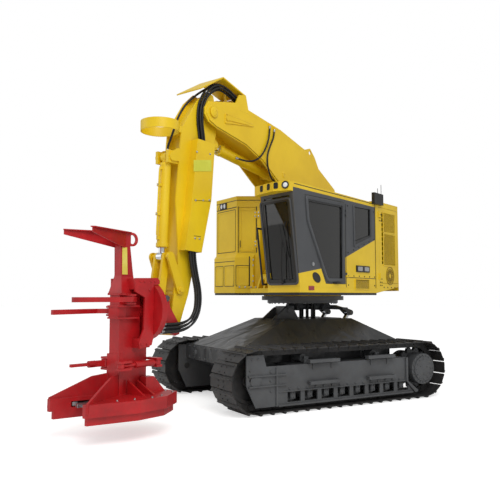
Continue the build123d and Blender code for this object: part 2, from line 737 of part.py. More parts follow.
# Light bar over the windscreen, bowed in plan
bar_front = cab_brow_y - 150
light_bar_plan = [
    (upper_half_width, cab_brow_y), (upper_half_width, bar_front + 60), (upper_half_width - 265, bar_front),
    (cab_inner_x - 20, bar_front + 170), (cab_inner_x - 20, cab_brow_y + cab_sweep), (cab_inner_x + 60,
    cab_brow_y + cab_sweep - 14),
]
light_bar = xy_plate(light_bar_plan, light_bar_low, cab_roof_z - 10)
light_bar -= cab_outer
bar_knee = Pos(upper_half_width - 265, bar_front, light_bar_low + 85)
right_face = bar_knee * Rot(0, 0, math.degrees(math.atan2(-170, 485)))
left_face = bar_knee * Rot(0, 0, math.degrees(math.atan2(60, 265)))
for face, along in ((right_face, -315), (right_face, -124), (left_face, 45)):
    light_bar -= face * Pos(along, 0, 0) * Box(54, 80, 86)
light_bar -= left_face * Pos(204, 0, 0) * Rot(90, 0, 0) * Cylinder(46, 50)
nodes["light_bar"] = light_bar

# Handrail loop beside the windscreen
rail_x = cab_inner_x - 70
rail_bottom = (rail_x, cab_foot_y + 120, 2060)
rail_top = (rail_x, cab_brow_y + 150, 2960)
handrail = join(
    bar(rail_bottom, rail_top, 16),
    bar(rail_top, (rail_x, cab_brow_y + 330, 2960), 16),
    bar((rail_x, cab_brow_y + 330, 2960), (rail_x, cab_foot_y + 300, 2060), 16),
    bar((rail_x, cab_foot_y + 300, 2060), rail_bottom, 16),
)
for height in (2200, 2860):
    share = (height - rail_bottom[2]) / (rail_top[2] - rail_bottom[2])
    y = rail_bottom[1] + (rail_top[1] - rail_bottom[1]) * share + 180
    handrail += bar((rail_x, y, height), (cab_inner_x - seat_gap, y, height), 12)
nodes["handrail"] = handrail

# Boom: two side plates, a closed core between them and the hose guard's horns
boom_side = [
    (470, 2590), (560, 2500), (740, 2500), (830, 2590), (980, 3500), (835, 4067), (205, 4404), (60, 4610),
    (-110, 4760), (-309, 4700), (-1120, 4910), (-2080, 5050), (-2150, 5290), (-2330, 5250), (-2420, 5090),
    (-2900, 4990), (-3110, 4945), (-3190, 4830), (-3190, 4720), (-3107, 4620), (-2921, 4560), (-2154, 4415),
    (-1665, 4220), (-1345, 4001), (-450, 3420), (180, 3050),
]
boom_core = [
    (470, 2590), (560, 2500), (740, 2500), (830, 2590), (980, 3500), (835, 4067), (205, 4404), (-309, 4690),
    (-1120, 4895), (-2350, 5070), (-2560, 5040), (-2560, 4700), (-2150, 4580), (-1500, 4370), (-1130, 4260),
    (-930, 4200), (-930, 3740), (-450, 3420), (180, 3050),
]
boom = join(
    yz_plate(boom_side, boom_half_width - boom_plate, boom_half_width),
    yz_plate(boom_side, -boom_half_width, boom_plate - boom_half_width),
    yz_plate(boom_core, boom_plate - boom_half_width, boom_half_width - boom_plate),
)
# Doubler plate on each side, whose top edge shows as a line, and the raised shape on it
boom_doubler = [
    (-2311, 4983), (-1559, 4932), (-343, 4701), (-160, 4640), (160, 4395), (800, 4030), (880, 3560),
    (180, 3090),
    (-450, 3460), (-1345, 4035), (-1665, 4250), (-2154, 4440), (-2921, 4580), (-3080, 4640), (-3160, 4740),
    (-3160, 4820), (-3080, 4915), (-2900, 4955),
]
raised_shape = [(-2700, 4770), (-2690, 4801), (-2655, 4825), (-1993, 4816), (-1965, 4787), (-2600, 4742),
    (-2660, 4725)]
for side in (-1, 1):
    for shape, inner, outer in (
            (boom_doubler, boom_half_width - 1, boom_half_width + doubler_plate),
            (raised_shape, boom_half_width + doubler_plate - 1, boom_half_width + 2 * doubler_plate)):
        boom += yz_plate(shape, *sorted((side * inner, side * outer)))
for y, z in ((-1500, 4890), (-1360, 4860)):
    boom += block(boom_half_width, boom_half_width + doubler_plate + 36, y - 22, y + 22, z + seat_gap,
        z + 45)
boom += block(-boom_half_width + 1, boom_half_width - 1, nose_bulkhead, nose_bulkhead + 16, 5030, 5262)
boom += join(
    block(78, 122, -2639.7, -2620, 5280, 5335),
    block(78, 122, -2621, -2480, 5280, 5296),
    block(78, 122, -2500, -2480, 5030, 5281),
)
boom -= cross_bar(boom_foot, boom_foot_pin + pin_clearance, -400, 400)
boom -= cross_bar(boom_eye, boom_eye_radius, -400, 400)
boom -= cross_bar(boom_foot, 175, -400, -boom_half_width)
boom -= cross_bar(boom_foot, 175, boom_half_width, 400)
boom += cross_bar(stick_pivot, stick_pin, -boom_half_width - 25, boom_half_width + 25)
boom += cross_bar(stick_ram_base, small_pin + 10, -boom_half_width, boom_half_width)
for x in (-hoist_x, hoist_x):
    for low in (x - 55 - 30, x + 55):
        boom += strap(hoist_tip, (-90, 3300), 85, 110, low, low + 30)
    for low in (x - 97, x + 85):
        boom += cross_bar(hoist_tip, small_pin + 12, low, low + 12)
nodes["boom"] = boom

# Hose guard: a bent strip over the boom's nose
guard = yz_plate(
    [(-3286, 5114), (-2732, 5447), (-2150, 5292), (-2156, 5272), (-2736, 5424), (-3276, 5096)],
    -boom_half_width + 10, boom_half_width - 10)
nodes["hose_guard"] = guard - boom

# Hoist rams under the boom
barrels = []
rods = []
for x in (-hoist_x, hoist_x):
    barrel, rod = ram(hoist_base, hoist_tip, x, 85, 48, 75, 50, 895, 360, small_pin + 12)
    barrels.append(barrel)
    rods.append(rod)
nodes["hoist_barrels"] = join(*barrels)
nodes["hoist_rods"] = join(*rods)

# Stick ram
barrel, rod = ram(stick_ram_base, stick_ram_tip, 0, 88, 52, 80, 60, 1525, 900, small_pin + 10)
nodes["stick_ram_barrel"] = barrel
nodes["stick_ram_rod"] = rod

# Stick: side plates with a recessed core that leaves a channel for the tilt ram
stick_side = [
    (-2870, 5110), (-3020, 5143), (-3246, 4938), (-3590, 4420), (-3700, 3300), (-3650, 2600), (-3650, 2350),
    (-3720, 1950), (-3790, 1440), (-3760, 1310), (-3690, 1310), (-3600, 1450), (-3420, 1900), (-3260, 2500),
    (-3000, 3400),
    (-2850, 4280), (-2800, 4480), (-2790, 4800),
]
stick_core = [
    (-2890, 5060), (-3020, 5080), (-3190, 4900), (-3500, 4420), (-3560, 3300), (-3600, 2550), (-3660, 1900),
    (-3600, 1500), (-3450, 1900), (-3290, 2500), (-3030, 3400), (-2880, 4280), (-2840, 4480), (-2830, 4800),
]
stick = join(
    yz_plate(stick_side, stick_half_width - stick_plate, stick_half_width),
    yz_plate(stick_side, -stick_half_width, stick_plate - stick_half_width),
    yz_plate(stick_core, stick_plate - stick_half_width, stick_half_width - stick_plate),
)
for low in (-110, 65):
    stick += strap(stick_ram_tip, (-2900, 4380), 80, 110, low, low + 45)
for low in (-122, 110):
    stick += cross_bar(stick_ram_tip, small_pin + 10, low, low + 12)
stick += cross_bar(wrist_pin, 90, -stick_half_width, stick_half_width)
stick += cross_bar(idler_pin_at, small_pin, -stick_half_width - 70, stick_half_width + 70)
stick -= cross_bar(stick_pivot, stick_pin + pin_clearance, -300, 300)
stick -= cross_bar(wrist_pin, small_pin + 12 + pin_clearance, -300, 300)
stick += cross_bar(tilt_base, small_pin, -stick_half_width, stick_half_width)
for x_low in (-stick_half_width, stick_half_width - 30):
    stick += strap(tilt_base, (-3640, 4000), 70, 100, x_low, x_low + 30)
for x_low in (-136, 86):
    stick += block(x_low, x_low + 50, -3845, -3600, 3860, 4050)
nodes["stick"] = stick

# Hose box on the stick's left side, open at its ends
box_out = 300
hose_box_outline = [
    (-3375, 4280), (-2980, 4275), (-3060, 3370), (-3280, 2530), (-3640, 2550), (-3520, 3140),
]
hose_box = yz_plate(hose_box_outline, stick_half_width, box_out)
hose_box_inner = [
    (-3340, 4300), (-3010, 4300), (-3090, 3370), (-3312, 2500), (-3605, 2500), (-3490, 3140),
]
hose_box -= yz_plate(hose_box_inner, stick_half_width - 1, box_out - 10)
for height in bulkheads:
    hose_box += yz_plate(hose_box_inner, stick_half_width, box_out - 9) & block(
        0, 400, -4000, -2500, height - 10, height + 10)
nodes["hose_box"] = hose_box

# Hoop that guides a hose in front of the stick
hoop_centre_y = -3890
hoop = Pos(0, hoop_centre_y, 4400) * (Cylinder(290, 150) - Cylinder(278, 160))
hoop += block(-stick_half_width, stick_half_width, hoop_centre_y + 225, -3500, 4350, 4450)
hoop -= Pos(0, hoop_centre_y, 4400) * Cylinder(278, 160)
hoop -= yz_plate(stick_side, -400, 400)
nodes["hose_hoop"] = hoop

# Hoses


def hose(points, radius=hose_radius):
    """A hose along straight runs joined by arcs, each arc as wide as its runs allow."""
    corners = [Vector(*point) for point in points]
    radii = []
    for before, here, after in zip(corners[:-2], corners[1:-1], corners[2:]):
        turn = math.radians((here - before).get_angle(after - here))
        shorter = min((here - before).length, (after - here).length)
        radii.append(0.45 * shorter / math.tan(turn / 2))
    route = FilletPolyline(*corners, radius=radii)
    start = Plane(origin=corners[0], z_dir=corners[1] - corners[0])
    tube = sweep(start * Circle(radius), path=route)
    print("hose", round(route.length), "mm, bends", [round(value) for value in radii])
    return tube


# Hoses over the boom's nose into the hose box. The outermost one's way: y, z and the inward direction
nose_way = [
    (-2270, 5205, 0.0, -1.0), (-2410, 5262, 0.0, -1.0), (-2580, 5318, 0.0, -1.0), (-2760, 5338, 0.1, -1.0),
    (-2940, 5272, 0.5, -1.0), (-3080, 5150, 0.8, -0.7), (-3200, 4985, 1.0, -0.4), (-3262, 4790, 1.0, 0.0),
    (-3262, 4560, 1.0, 0.0), (-3210, 4330, 1.0, 0.0),
]
tubes = []
for out, inset in ((180, 0), (220, 23), (180, 46), (220, 69), (180, 92)):
    middle = [(out, y + inset * dy, z + inset * dz) for y, z, dy, dz in nose_way]
    start = (out, nose_bulkhead - seat_gap, nose_way[0][1] - inset)
    end = (out, nose_way[-1][0] + inset, bulkheads[0] + 10 + seat_gap)
    tubes.append(hose([start, *middle, end]))
nodes["nose_hoses"] = join(*tubes)

# Single hose from under the guard, through the hoop, to the tilt ram
nodes["hoop_hose"] = hose([
    (100, -2640, 5310), (100, -2760, 5310), (100, -2950, 5230), (100, -3130, 5110), (100, -3300, 4975),
    (100, -3480, 4800), (100, -3610, 4600), (96, -3690, 4400), (66, -3740, 4220), (30, tilt_base[0], 4120),
    (30, tilt_base[0], tilt_base[1] + 68 + seat_gap),
])

# Hoses from the hose box down to the wrist's cone. The rearmost one's way: y, z and the inward direction
head_way = [
    (-3375, bulkheads[1] - 10 - seat_gap, -1.0, 0.0), (-3375, 2450, -1.0, 0.0), (-3318, 2190, -1.0, 0.1),
    (-3250, 1950, -1.0, 0.1), (-3245, 1760, -1.0, 0.2), (-3300, 1570, -0.8, 0.6), (-3430, 1430, -0.5, 0.85),
    (-3620, 1360, -0.2, 1.0), (-3850, 1345, 0.0, 1.0),
]
tubes = []
for number in range(6):
    inset = 25 * number
    out = 226 if number % 2 == 0 else 270
    way = []
    for step, (y, z, dy, dz) in enumerate(head_way):
        way.append((out + 3 * step, y + inset * dy, z + inset * dz))
    end_x = out + 24
    end_z = 1348 + inset
    reach = math.hypot(end_x, wrist_axis_z - end_z) - hose_radius
    share = (reach - wrist_rear_radius) / (wrist_radius - wrist_rear_radius)
    tubes.append(hose([*way, (end_x, wrist_rear_y - wrist_cone * share + 1, end_z)]))
nodes["head_hoses"] = join(*tubes)

# Hoses on the boom's left side: to the stick ram, and back down under the boom
ram_hose_x = boom_half_width + doubler_plate + 17
nodes["ram_hose"] = hose([
    (ram_hose_x, -1500, 4890), (ram_hose_x, -1500, 4790), (ram_hose_x + 14, -1560, 4610),
    (ram_hose_x + 14, -1660, 4430), (ram_hose_x + 4, -1790, 4270), (250, -1940, 4180), (172, -2090, 4180),
    (90, -2210, 4225),
], 15) - bar((0, *stick_ram_base), (0, *stick_ram_tip), 88 + seat_gap)
nodes["boom_hose"] = hose([
    (ram_hose_x, -1360, 4860), (ram_hose_x, -1360, 4742), (ram_hose_x + 14, -1490, 4560),
    (ram_hose_x + 16, -1600, 4350), (ram_hose_x + 10, -1580, 4150), (272, -1450, 4010),
    (200, -1260, 3935), (200, -931, 3960),
], 15)

# Tilt ram and its linkage
barrel, rod = ram(tilt_base, tilt_knuckle, 0, 82, 46, 68, 55, 1365, 300, small_pin)
nodes["tilt_ram_barrel"] = barrel
nodes["tilt_ram_rod"] = rod
idlers = []
for low in (-stick_half_width - 42, stick_half_width + side_gap):
    link = strap(idler_pin_at, tilt_knuckle, 72, 68, low, low + 36)
    link -= cross_bar(idler_pin_at, small_pin + pin_clearance, low - 1, low + 37)
    idlers.append(link)
idler_pin = cross_bar(tilt_knuckle, small_pin, -stick_half_width - 42, -60)
idlers.append(idler_pin)
idlers.append(cross_bar(tilt_knuckle, small_pin, 60, stick_half_width + 42))
nodes["idler_links"] = join(*idlers)
push_links = []
for low in (-104, 62):
    link = strap(link_pin, tilt_knuckle, 68, 64, low, low + 42)
    link -= cross_bar(link_pin, small_pin + pin_clearance, low - 1, low + 43)
    link -= cross_bar(tilt_knuckle, small_pin + 3, low - 1, low + 43)
    push_links.append(link)
nodes["push_links"] = join(*push_links)

# Wrist: two ears on the stick's tip and a drum, coned at its rear, that carries the turning head
ear_outline = [
    (wrist_rear_y - 20, 1895), (-3905, 1885), (-3860, 1790), (-3850, 1720), (-3665, 1470), (-3630, 1390),
    (-3655, 1310), (-3740, 1290), (-3990, 1400), (wrist_rear_y - 20, 1400),
]
wrist_profile = [
    (0, wrist_front_y), (wrist_radius, wrist_front_y), (wrist_radius, wrist_rear_y - wrist_cone),
    (wrist_rear_radius, wrist_rear_y), (0, wrist_rear_y),
]
drum_face = Plane.XY * make_face(Polyline(*wrist_profile, close=True))
drum = Pos(0, 0, wrist_axis_z) * revolve(drum_face, Axis.Y, 360)
wrist = join(drum, *[
    yz_plate(ear_outline, low, low + 40) for low in (-stick_half_width - side_gap - 40,
    stick_half_width + side_gap)])
stub_end = wrist_front_y - stub_length
wrist += bar((0, stub_end, wrist_axis_z), (0, wrist_front_y + 5, wrist_axis_z), stub_radius)
wrist += cross_bar(wrist_pin, small_pin + 12, -stick_half_width - 60, stick_half_width + 60)
wrist += cross_bar(link_pin, small_pin, -stick_half_width - 60, stick_half_width + 60)
nodes["wrist"] = wrist

# Head bracket: ring that turns on the wrist, between two C-shaped plates that grip the mast
head_ring = bar((0, mast_rear - 90, wrist_axis_z), (0, wrist_front_y - turn_gap, wrist_axis_z), wrist_radius)
bracket_outline = [
    (-4560, 1930), (-4560, 2115), (-4150, 2125), (-4110, 2085), (-4110, 2040),
    (wrist_front_y - turn_gap, 2010), (wrist_front_y - turn_gap, 1290), (-4250, 1190), (-4470, 1150),
    (-4480, 1245),
    (-4395, 1420), (-4385, 1850),
]
head_bracket = head_ring & block(-260, 260, -4500, -4000, 1240, 2110)
for low in (-260, 230):
    head_bracket += yz_plate(bracket_outline, low, low + 30)
for y_low, y_high, z_low, z_high in ((-4555, -4250, 2060, 2110), (-4475, -4260, 1160, 1200)):
    head_bracket += block(-230, 230, y_low, y_high, z_low, z_high)
for side in (-1, 1):
    inner, outer = sorted((side * (mast_half + 2), side * 231))
    head_bracket += block(inner, outer, -4470, -4330, 1160, 1290)
    head_bracket += block(inner, outer, -4555, -4445, 1960, 2110)
head_bracket -= bar((0, stub_end - 10, wrist_axis_z), (0, wrist_rear_y, wrist_axis_z),
    stub_radius + pin_clearance)
head_bracket -= bar((0, wrist_front_y - turn_gap, wrist_axis_z), (0, 0, wrist_axis_z), wrist_radius + 12)

# Mast: a box column, narrower at the rear, that flares under the collar and under the horn
mast_sections = [
    # z, half width, front y, rear y
    (collar_high, 139, -4702, -4420),
    (2150, horn_half, -4652, -4440),
    (2560, horn_half, -4660, -4500),
]
mast = block(-mast_half, mast_half, mast_front, mast_rear - 150, housing_top, collar_high)
mast += block(-mast_half + 25, mast_half - 25, mast_rear - 151, mast_rear, housing_top, 1160)
for below, above in zip(mast_sections[:-1], mast_sections[1:]):
    profiles = []
    for z, half, front, rear in (below, above):
        profiles.append(Plane.XY.offset(z) * Pos(0, (front + rear) / 2) * Rectangle(2 * half, rear - front))
    mast += loft(profiles, ruled=True)
collar_plan = [
    (-collar_half, collar_rear), (-collar_half, -4650), (-110, collar_front), (110, collar_front),
    (collar_half, -4650), (collar_half, collar_rear),
]
for bottom in (collar_low, 1722, collar_high - 22):
    mast += xy_plate(collar_plan, bottom, bottom + 22)
mast += xy_plate([(-120, -4600), (-95, -4728), (95, -4728), (120, -4600)], collar_low, 1744)
mast += block(-128, 128, -4715, -4640, housing_top, 1090)
mast -= head_bracket
nodes["mast"] = mast
nodes["head_bracket"] = head_bracket

# Horn: two wings that gather the stems, each a flat plate over a deep web, and the lifting ring behind
horn = Part()
for side in (-1, 1):
    plate = [(side * 20, -4490), (side * 95, -4490), (side * 330, -5310), (side * 285, -5345),
        (side * 20, -4720)]
    horn += xy_plate(plate, horn_z - 6, horn_z + 8)
    web_from = Vector(side * 60, -4560)
    web_to = Vector(side * 300, -5325)
    reach = (web_to - web_from).length
    plane = Plane(origin=(web_from.X, web_from.Y, horn_z), x_dir=(web_to - web_from).normalized(),
                  z_dir=(side * (web_from.Y - web_to.Y), side * (web_to.X - web_from.X), 0))
    drop = -1 if plane.y_dir.Z > 0 else 1
    web = make_face(Polyline((0, 0), (reach, 0), (reach, drop * 65), (60, drop * 215), (0, drop * 215),
        close=True))
    horn += extrude(plane * web, amount=6, both=True)
horn += block(-horn_half, horn_half, -4660, -4490, 2560, horn_z)
ring_at = (-4405, 2665)
horn += block(-16, 16, -4500, ring_at[0], 2590, horn_z - 5)
horn += cross_bar(ring_at, 96, -16, 16)
horn -= cross_bar(ring_at, 66, -20, 20)
nodes["horn"] = horn
nodes["mast"] -= horn

# Saw housing: plan outline of one side from the front tip round to the rear
housing_side = [(395, -5450), (640, -4790), (655, -4330), (450, -3940)]
housing_plan = housing_side + [(-x, y) for x, y in reversed(housing_side)]
housing_face = make_face(Polyline(*housing_plan, close=True))
housing = extrude(Plane.XY.offset(skirt_low) * housing_face, amount=housing_top - skirt_low)
guard_face = offset(housing_face, -45, kind=Kind.INTERSECTION)
housing += extrude(Plane.XY.offset(housing_bottom) * guard_face, amount=skirt_low - housing_bottom)
pocket = xy_plate([(-385, -5600), (-mast_half, -4725), (mast_half, -4725), (385, -5600)], 0, 2000)
housing -= pocket
for side in (-1, 1):
    # the wing: a wall from the mast's front corner to the tip, along the pocket's side
    start = Vector(side * mast_half, -4700)
    end = Vector(side * 400, -5430)
    reach = (end - start).length
    plane = Plane(origin=(start.X, start.Y, 0), x_dir=(end - start).normalized(),
                  z_dir=(side * (start.Y - end.Y), side * (end.X - start.X), 0))
    up = 1 if plane.y_dir.Z > 0 else -1
    wall_points = [(0, 470), (0, 830), (230, 800), (reach, 560), (reach + 15, 430)]
    wing = extrude(plane * make_face(Polyline(*[(u, up * z) for u, z in wall_points], close=True)),
        amount=16, both=True)
    housing += wing - pocket
    # gussets from the deck up to the mast's foot
    for along, out, height in ((-4560, 330, 205), (-4390, 330, 190)):
        foot = Plane.XZ.offset(-along) * make_face(Polyline(
            (side * mast_half, housing_top - 2), (side * out * 1.5, housing_top - 2),
            (side * mast_half, housing_top + height), close=True))
        housing += extrude(foot, amount=14, both=True)
rear_shroud = yz_plate([(-3985, housing_top - 2), (-4190, 760), (-4340, 760), (-4340, housing_top - 2)],
    -250, 250)
housing += rear_shroud
saw_room = Pos(0, saw_y, saw_z) * Cylinder(saw_radius + saw_play, 76)
housing -= saw_room
housing -= block(-mast_half - 30, mast_half + 30, mast_front - 20, mast_rear + 1, housing_top, 2000)
nodes["saw_housing"] = housing
nodes["mast"] -= housing

# Saw disc with its teeth, on a hub under the mast
saw = Pos(0, saw_y, saw_z) * Cylinder(saw_radius - 40, 28)
tooth_count = 18
for tooth in range(tooth_count):
    angle = 360 * tooth / tooth_count
    saw += Pos(0, saw_y, saw_z) * Rot(0, 0, angle) * Pos(saw_radius - 35, 0, 0) * Box(66, 56, 48)
saw += Pos(0, saw_y, saw_z + 19) * Cylinder(70, 38 - 2 * seat_gap)
nodes["saw_disc"] = saw

# Gathering arms: sickle shapes about posts on the mast's two sides
# Each point: outward from the post, and along the machine
arm_sides = [
    # name, side, height, reach from the post
    ("harvest_arm", 1, 1825, 960),
    ("collector_arm", -1, 1662, 930),
]
for name, side, height, reach in arm_sides:
    arm_shape = [
        (-30, 55), (45, 55), (165, -110), (175, -300), (45, -reach), (-5, -reach), (85, -330), (85,
        -160), (-30, -50),
    ]
    plan = [(side * (arm_post_x + out), arm_post_y + along) for out, along in arm_shape]
    post = Pos(side * arm_post_x, arm_post_y, height)
    arm = join(xy_plate(plan, height - 32, height + 32), post * Cylinder(55, 76))
    nodes[name] = arm - post * Cylinder(arm_pin_radius + pin_clearance, 80)
    low = height - 38 - side_gap
    high = height + 38 + side_gap
    lugs = join(*[
        block(*sorted((side * 95, side * (arm_post_x + 45))), arm_post_y - 45, arm_post_y + 45, bottom,
        bottom + 26)
        for bottom in (low - 26, high)])
    nodes["mast"] += join(lugs, post * Cylinder(arm_pin_radius, high - low + 52))

# Low arm, with a jointed tip, on the mast foot's right side
post = Pos(low_arm_post[0], low_arm_post[1], low_arm_z)
low_arm = join(
    post * Cylinder(62, 110),
    xy_plate([(-260, -4680), (-170, -4680), (-205, -4850), (-275, -4850)], low_arm_z - 40, low_arm_z + 40),
    bar((-240, -4830, low_arm_z), (-252, -4925, low_arm_z), 46),
    xy_plate([(-278, -4900), (-222, -4900), (-258, -5190), (-306, -5190)], low_arm_z - 20, low_arm_z + 20),
)
nodes["low_arm"] = low_arm - post * Cylinder(arm_pin_radius + pin_clearance, 120)
lugs = [block(-270, -95, -4705, -4615, z, z + 28) for z in (low_arm_z - 55 - side_gap - 28,
    low_arm_z + 55 + side_gap)]
nodes["mast"] += join(*lugs, post * Cylinder(arm_pin_radius, 110 + 2 * side_gap + 56))

# Ram beside the mast's foot, between its front lug and its rear bracket
side_ram_x = 265
ram_front = -4800
ram_rear = -4150
side_ram = join(
    bar((side_ram_x, ram_rear - 75, low_arm_z), (side_ram_x, -4560, low_arm_z), 44),
    bar((side_ram_x, ram_rear, low_arm_z), (side_ram_x, ram_rear - 80, low_arm_z), 28),
    bar((side_ram_x, -4560, low_arm_z), (side_ram_x, ram_front, low_arm_z), 25),
    Pos(side_ram_x, ram_front, low_arm_z) * Cylinder(46, 60),
    Pos(side_ram_x, ram_rear, low_arm_z) * Cylinder(50, 60),
)
for y in (ram_front, ram_rear):
    side_ram -= Pos(side_ram_x, y, low_arm_z) * Cylinder(18 + seat_gap, 70)
    nodes["mast"] += Pos(side_ram_x, y, low_arm_z) * Cylinder(18, 124)
nodes["side_ram"] = side_ram
front_lug = [
    (60, -4650), (side_ram_x + 50, -4650), (side_ram_x + 50, ram_front - 50),
    (side_ram_x - 50, ram_front - 50), (150, -4705), (60, -4705),
]
rear_lug = [(60, ram_rear - 50), (side_ram_x + 50, ram_rear - 50), (side_ram_x + 50, ram_rear + 50),
    (60, ram_rear + 50)]
for lug in (front_lug, rear_lug):
    for z in (low_arm_z - 62, low_arm_z + 32):
        nodes["mast"] += xy_plate(lug, z, z + 30)

os.makedirs("parts", exist_ok=True)
for name, shape in nodes.items():
    export_step(shape, f"parts/{name}.step")
    print(name, len(shape.solids()), round(shape.volume / 1e6), "dm3")
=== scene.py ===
import bmesh
import bpy
import json
import math
import numpy as np
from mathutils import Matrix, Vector


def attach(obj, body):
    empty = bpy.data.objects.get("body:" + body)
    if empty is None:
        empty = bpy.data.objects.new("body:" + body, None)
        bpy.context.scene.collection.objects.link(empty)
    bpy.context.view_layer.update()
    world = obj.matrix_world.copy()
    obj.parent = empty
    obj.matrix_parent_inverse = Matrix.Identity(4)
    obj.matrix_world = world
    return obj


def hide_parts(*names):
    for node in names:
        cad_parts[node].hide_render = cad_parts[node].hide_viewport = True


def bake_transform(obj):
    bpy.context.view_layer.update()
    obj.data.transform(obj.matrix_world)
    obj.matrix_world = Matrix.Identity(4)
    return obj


# Tracked feller buncher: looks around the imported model. Metres, +Z up, -Y the front, +X the machine's left.
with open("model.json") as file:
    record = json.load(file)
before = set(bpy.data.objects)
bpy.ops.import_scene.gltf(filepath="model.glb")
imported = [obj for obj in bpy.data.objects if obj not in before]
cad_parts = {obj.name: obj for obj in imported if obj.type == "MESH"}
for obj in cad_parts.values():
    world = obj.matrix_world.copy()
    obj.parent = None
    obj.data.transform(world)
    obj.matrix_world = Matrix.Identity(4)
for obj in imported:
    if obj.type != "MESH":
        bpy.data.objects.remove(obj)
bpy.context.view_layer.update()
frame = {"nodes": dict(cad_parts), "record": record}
nodes = frame["nodes"]
slotOf = {row["node"]: row["material_slot"] for row in frame["record"]["subparts"]}
print("frame loaded:", len(nodes), "nodes")


# Materials

def linear(hexColour):  # sRGB hex to linear colour, by the sRGB curve
    parts = [int(hexColour[i:i + 2], 16) / 255 for i in (1, 3, 5)]
    return [c / 12.92 if c <= 0.04045 else ((c + 0.055) / 1.055) ** 2.4 for c in parts] + [1]


def addNode(tree, kind, links=None, **settings):  # a node with its settings, its values and its links
    node = tree.nodes.new("ShaderNode" + kind)
    for key, value in settings.items():
        setattr(node, key, value)
    for socket, value in (links or {}).items():
        if isinstance(value, bpy.types.NodeSocket):
            tree.links.new(value, node.inputs[socket])
        else:
            node.inputs[socket].default_value = value
    return node


def newMaterial(name):
    material = bpy.data.materials.new(name)
    material.use_nodes = True
    material.node_tree.nodes.clear()
    return material, material.node_tree


def noise(tree, place, scale, detail, roughness=0.5, distortion=0.0):
    return addNode(tree, "TexNoise", {"Vector": place, "Scale": scale, "Detail": detail, "Roughness": roughness,
                                      "Distortion": distortion}).outputs["Fac"]


def ranged(tree, value, start, end, low, high):  # low at start, high at end, held outside
    return addNode(tree, "MapRange", {"Value": value, "From Min": start, "From Max": end, "To Min": low,
                                      "To Max": high}).outputs["Result"]


def mixed(tree, factor, first, second):
    links = {"Factor": factor, "A": first, "B": second}
    return addNode(tree, "Mix", links, data_type="RGBA").outputs["Result"]


def product(tree, first, second):
    return addNode(tree, "Math", {0: first, 1: second}, operation="MULTIPLY").outputs[0]


basics = ("light", "dark", "edge", "edgeWear", "patchSize", "grainSize", "roughness", "bump")


def coat(*values, **more):  # a paint's settings: the basics in their order, then what is special by name
    return {**dict(zip(basics, values)), **more}


def paint(name, look):
    # a coat over steel: colour drifts in patches, dust lies low and in blots, edges are rubbed lighter, and a fine
    # skin ripples the gloss. With "second", the colour changes past straight masked lines, as on a two-tone shell.
    material, tree = newMaterial(name)
    place = addNode(tree, "TexCoord").outputs["Object"]
    patches = noise(tree, place, 1 / look["patchSize"], 5, 0.6)
    fine = noise(tree, place, 1 / look["grainSize"], 3, 0.6)
    blots = noise(tree, place, 3.2 / look["patchSize"], 8, 0.72)
    colours = []
    for pair in [look] + ([look["second"]] if "second" in look else []):
        tone = addNode(tree, "ValToRGB", {"Fac": patches})
        for stop, position, key in zip(tone.color_ramp.elements, (0.32, 0.64), ("dark", "light")):
            stop.position = position
            stop.color = linear(pair[key])
        colours.append(tone.outputs["Color"])
    colour = colours[0]
    if "second" in look:
        inside = 1.0
        for direction, least in look["second"]["lines"]:
            reach = addNode(tree, "VectorMath", {0: place, 1: direction}, operation="DOT_PRODUCT").outputs["Value"]
            past = addNode(tree, "Math", {0: reach, 1: least}, operation="GREATER_THAN").outputs[0]
            inside = product(tree, inside, past)
        colour = mixed(tree, inside, *colours)
    if "dust" in look:
        height = addNode(tree, "SeparateXYZ", {"Vector": place}).outputs["Z"]
        low = ranged(tree, height, 0.0, look["dustTop"], 1.0, look.get("dustHigh", 0.25))
        blot = ranged(tree, blots, 0.42, 0.68, 0.0, look["dust"])
        colour = mixed(tree, product(tree, low, blot), colour, linear(look["dustColour"]))
    rounded = addNode(tree, "Bevel", {"Radius": look.get("edgeRound", 0.005)}, samples=4).outputs["Normal"]
    flat = addNode(tree, "NewGeometry").outputs["Normal"]
    turned = addNode(tree, "VectorMath", {0: rounded, 1: flat}, operation="DOT_PRODUCT").outputs["Value"]
    worn = ranged(tree, turned, 0.99, 0.8, 0, look["edgeWear"])
    colour = mixed(tree, product(tree, worn, blots), colour, linear(look["edge"]))
    rough = ranged(tree, blots, 0.3, 0.7, look["roughness"] - 0.05, look["roughness"] + 0.09)
    bump = addNode(tree, "Bump", {"Height": fine, "Strength": look["bump"], "Distance": look["grainSize"] * 0.2,
                                  "Normal": rounded}).outputs["Normal"]
    if "foldSize" in look:  # soft dents and folds of a sheet: a second, wide wave under the fine one
        folds = noise(tree, place, 1 / look["foldSize"], 1.5, distortion=0.8)
        bump = addNode(tree, "Bump", {"Height": folds, "Strength": 0.5, "Distance": look["foldSize"] * 0.25,
                                      "Normal": bump}).outputs["Normal"]
    shader = addNode(tree, "BsdfPrincipled", {
        "Base Color": colour, "Roughness": rough, "Normal": bump, "IOR": 1.5, "Metallic": look.get("metal", 0),
        "Coat Weight": look.get("coat", 0), "Coat Roughness": 0.12})
    addNode(tree, "OutputMaterial", {"Surface": shader.outputs["BSDF"]})
    return material


# two-component enamel, sprayed: an even warm yellow with a soft clear gloss
yellowLook = coat("#F1CC16", "#E5BF10", "#F3DA5E", 0.35, 0.9, 0.01, 0.38, 0.06, dust=0.1, dustColour="#6B6156",
                  dustTop=3.0)
yellowEnamel = paint("sprayedYellowEnamel", yellowLook)
greyTone = {"light": "#4A4C4F", "dark": "#3F4144"}
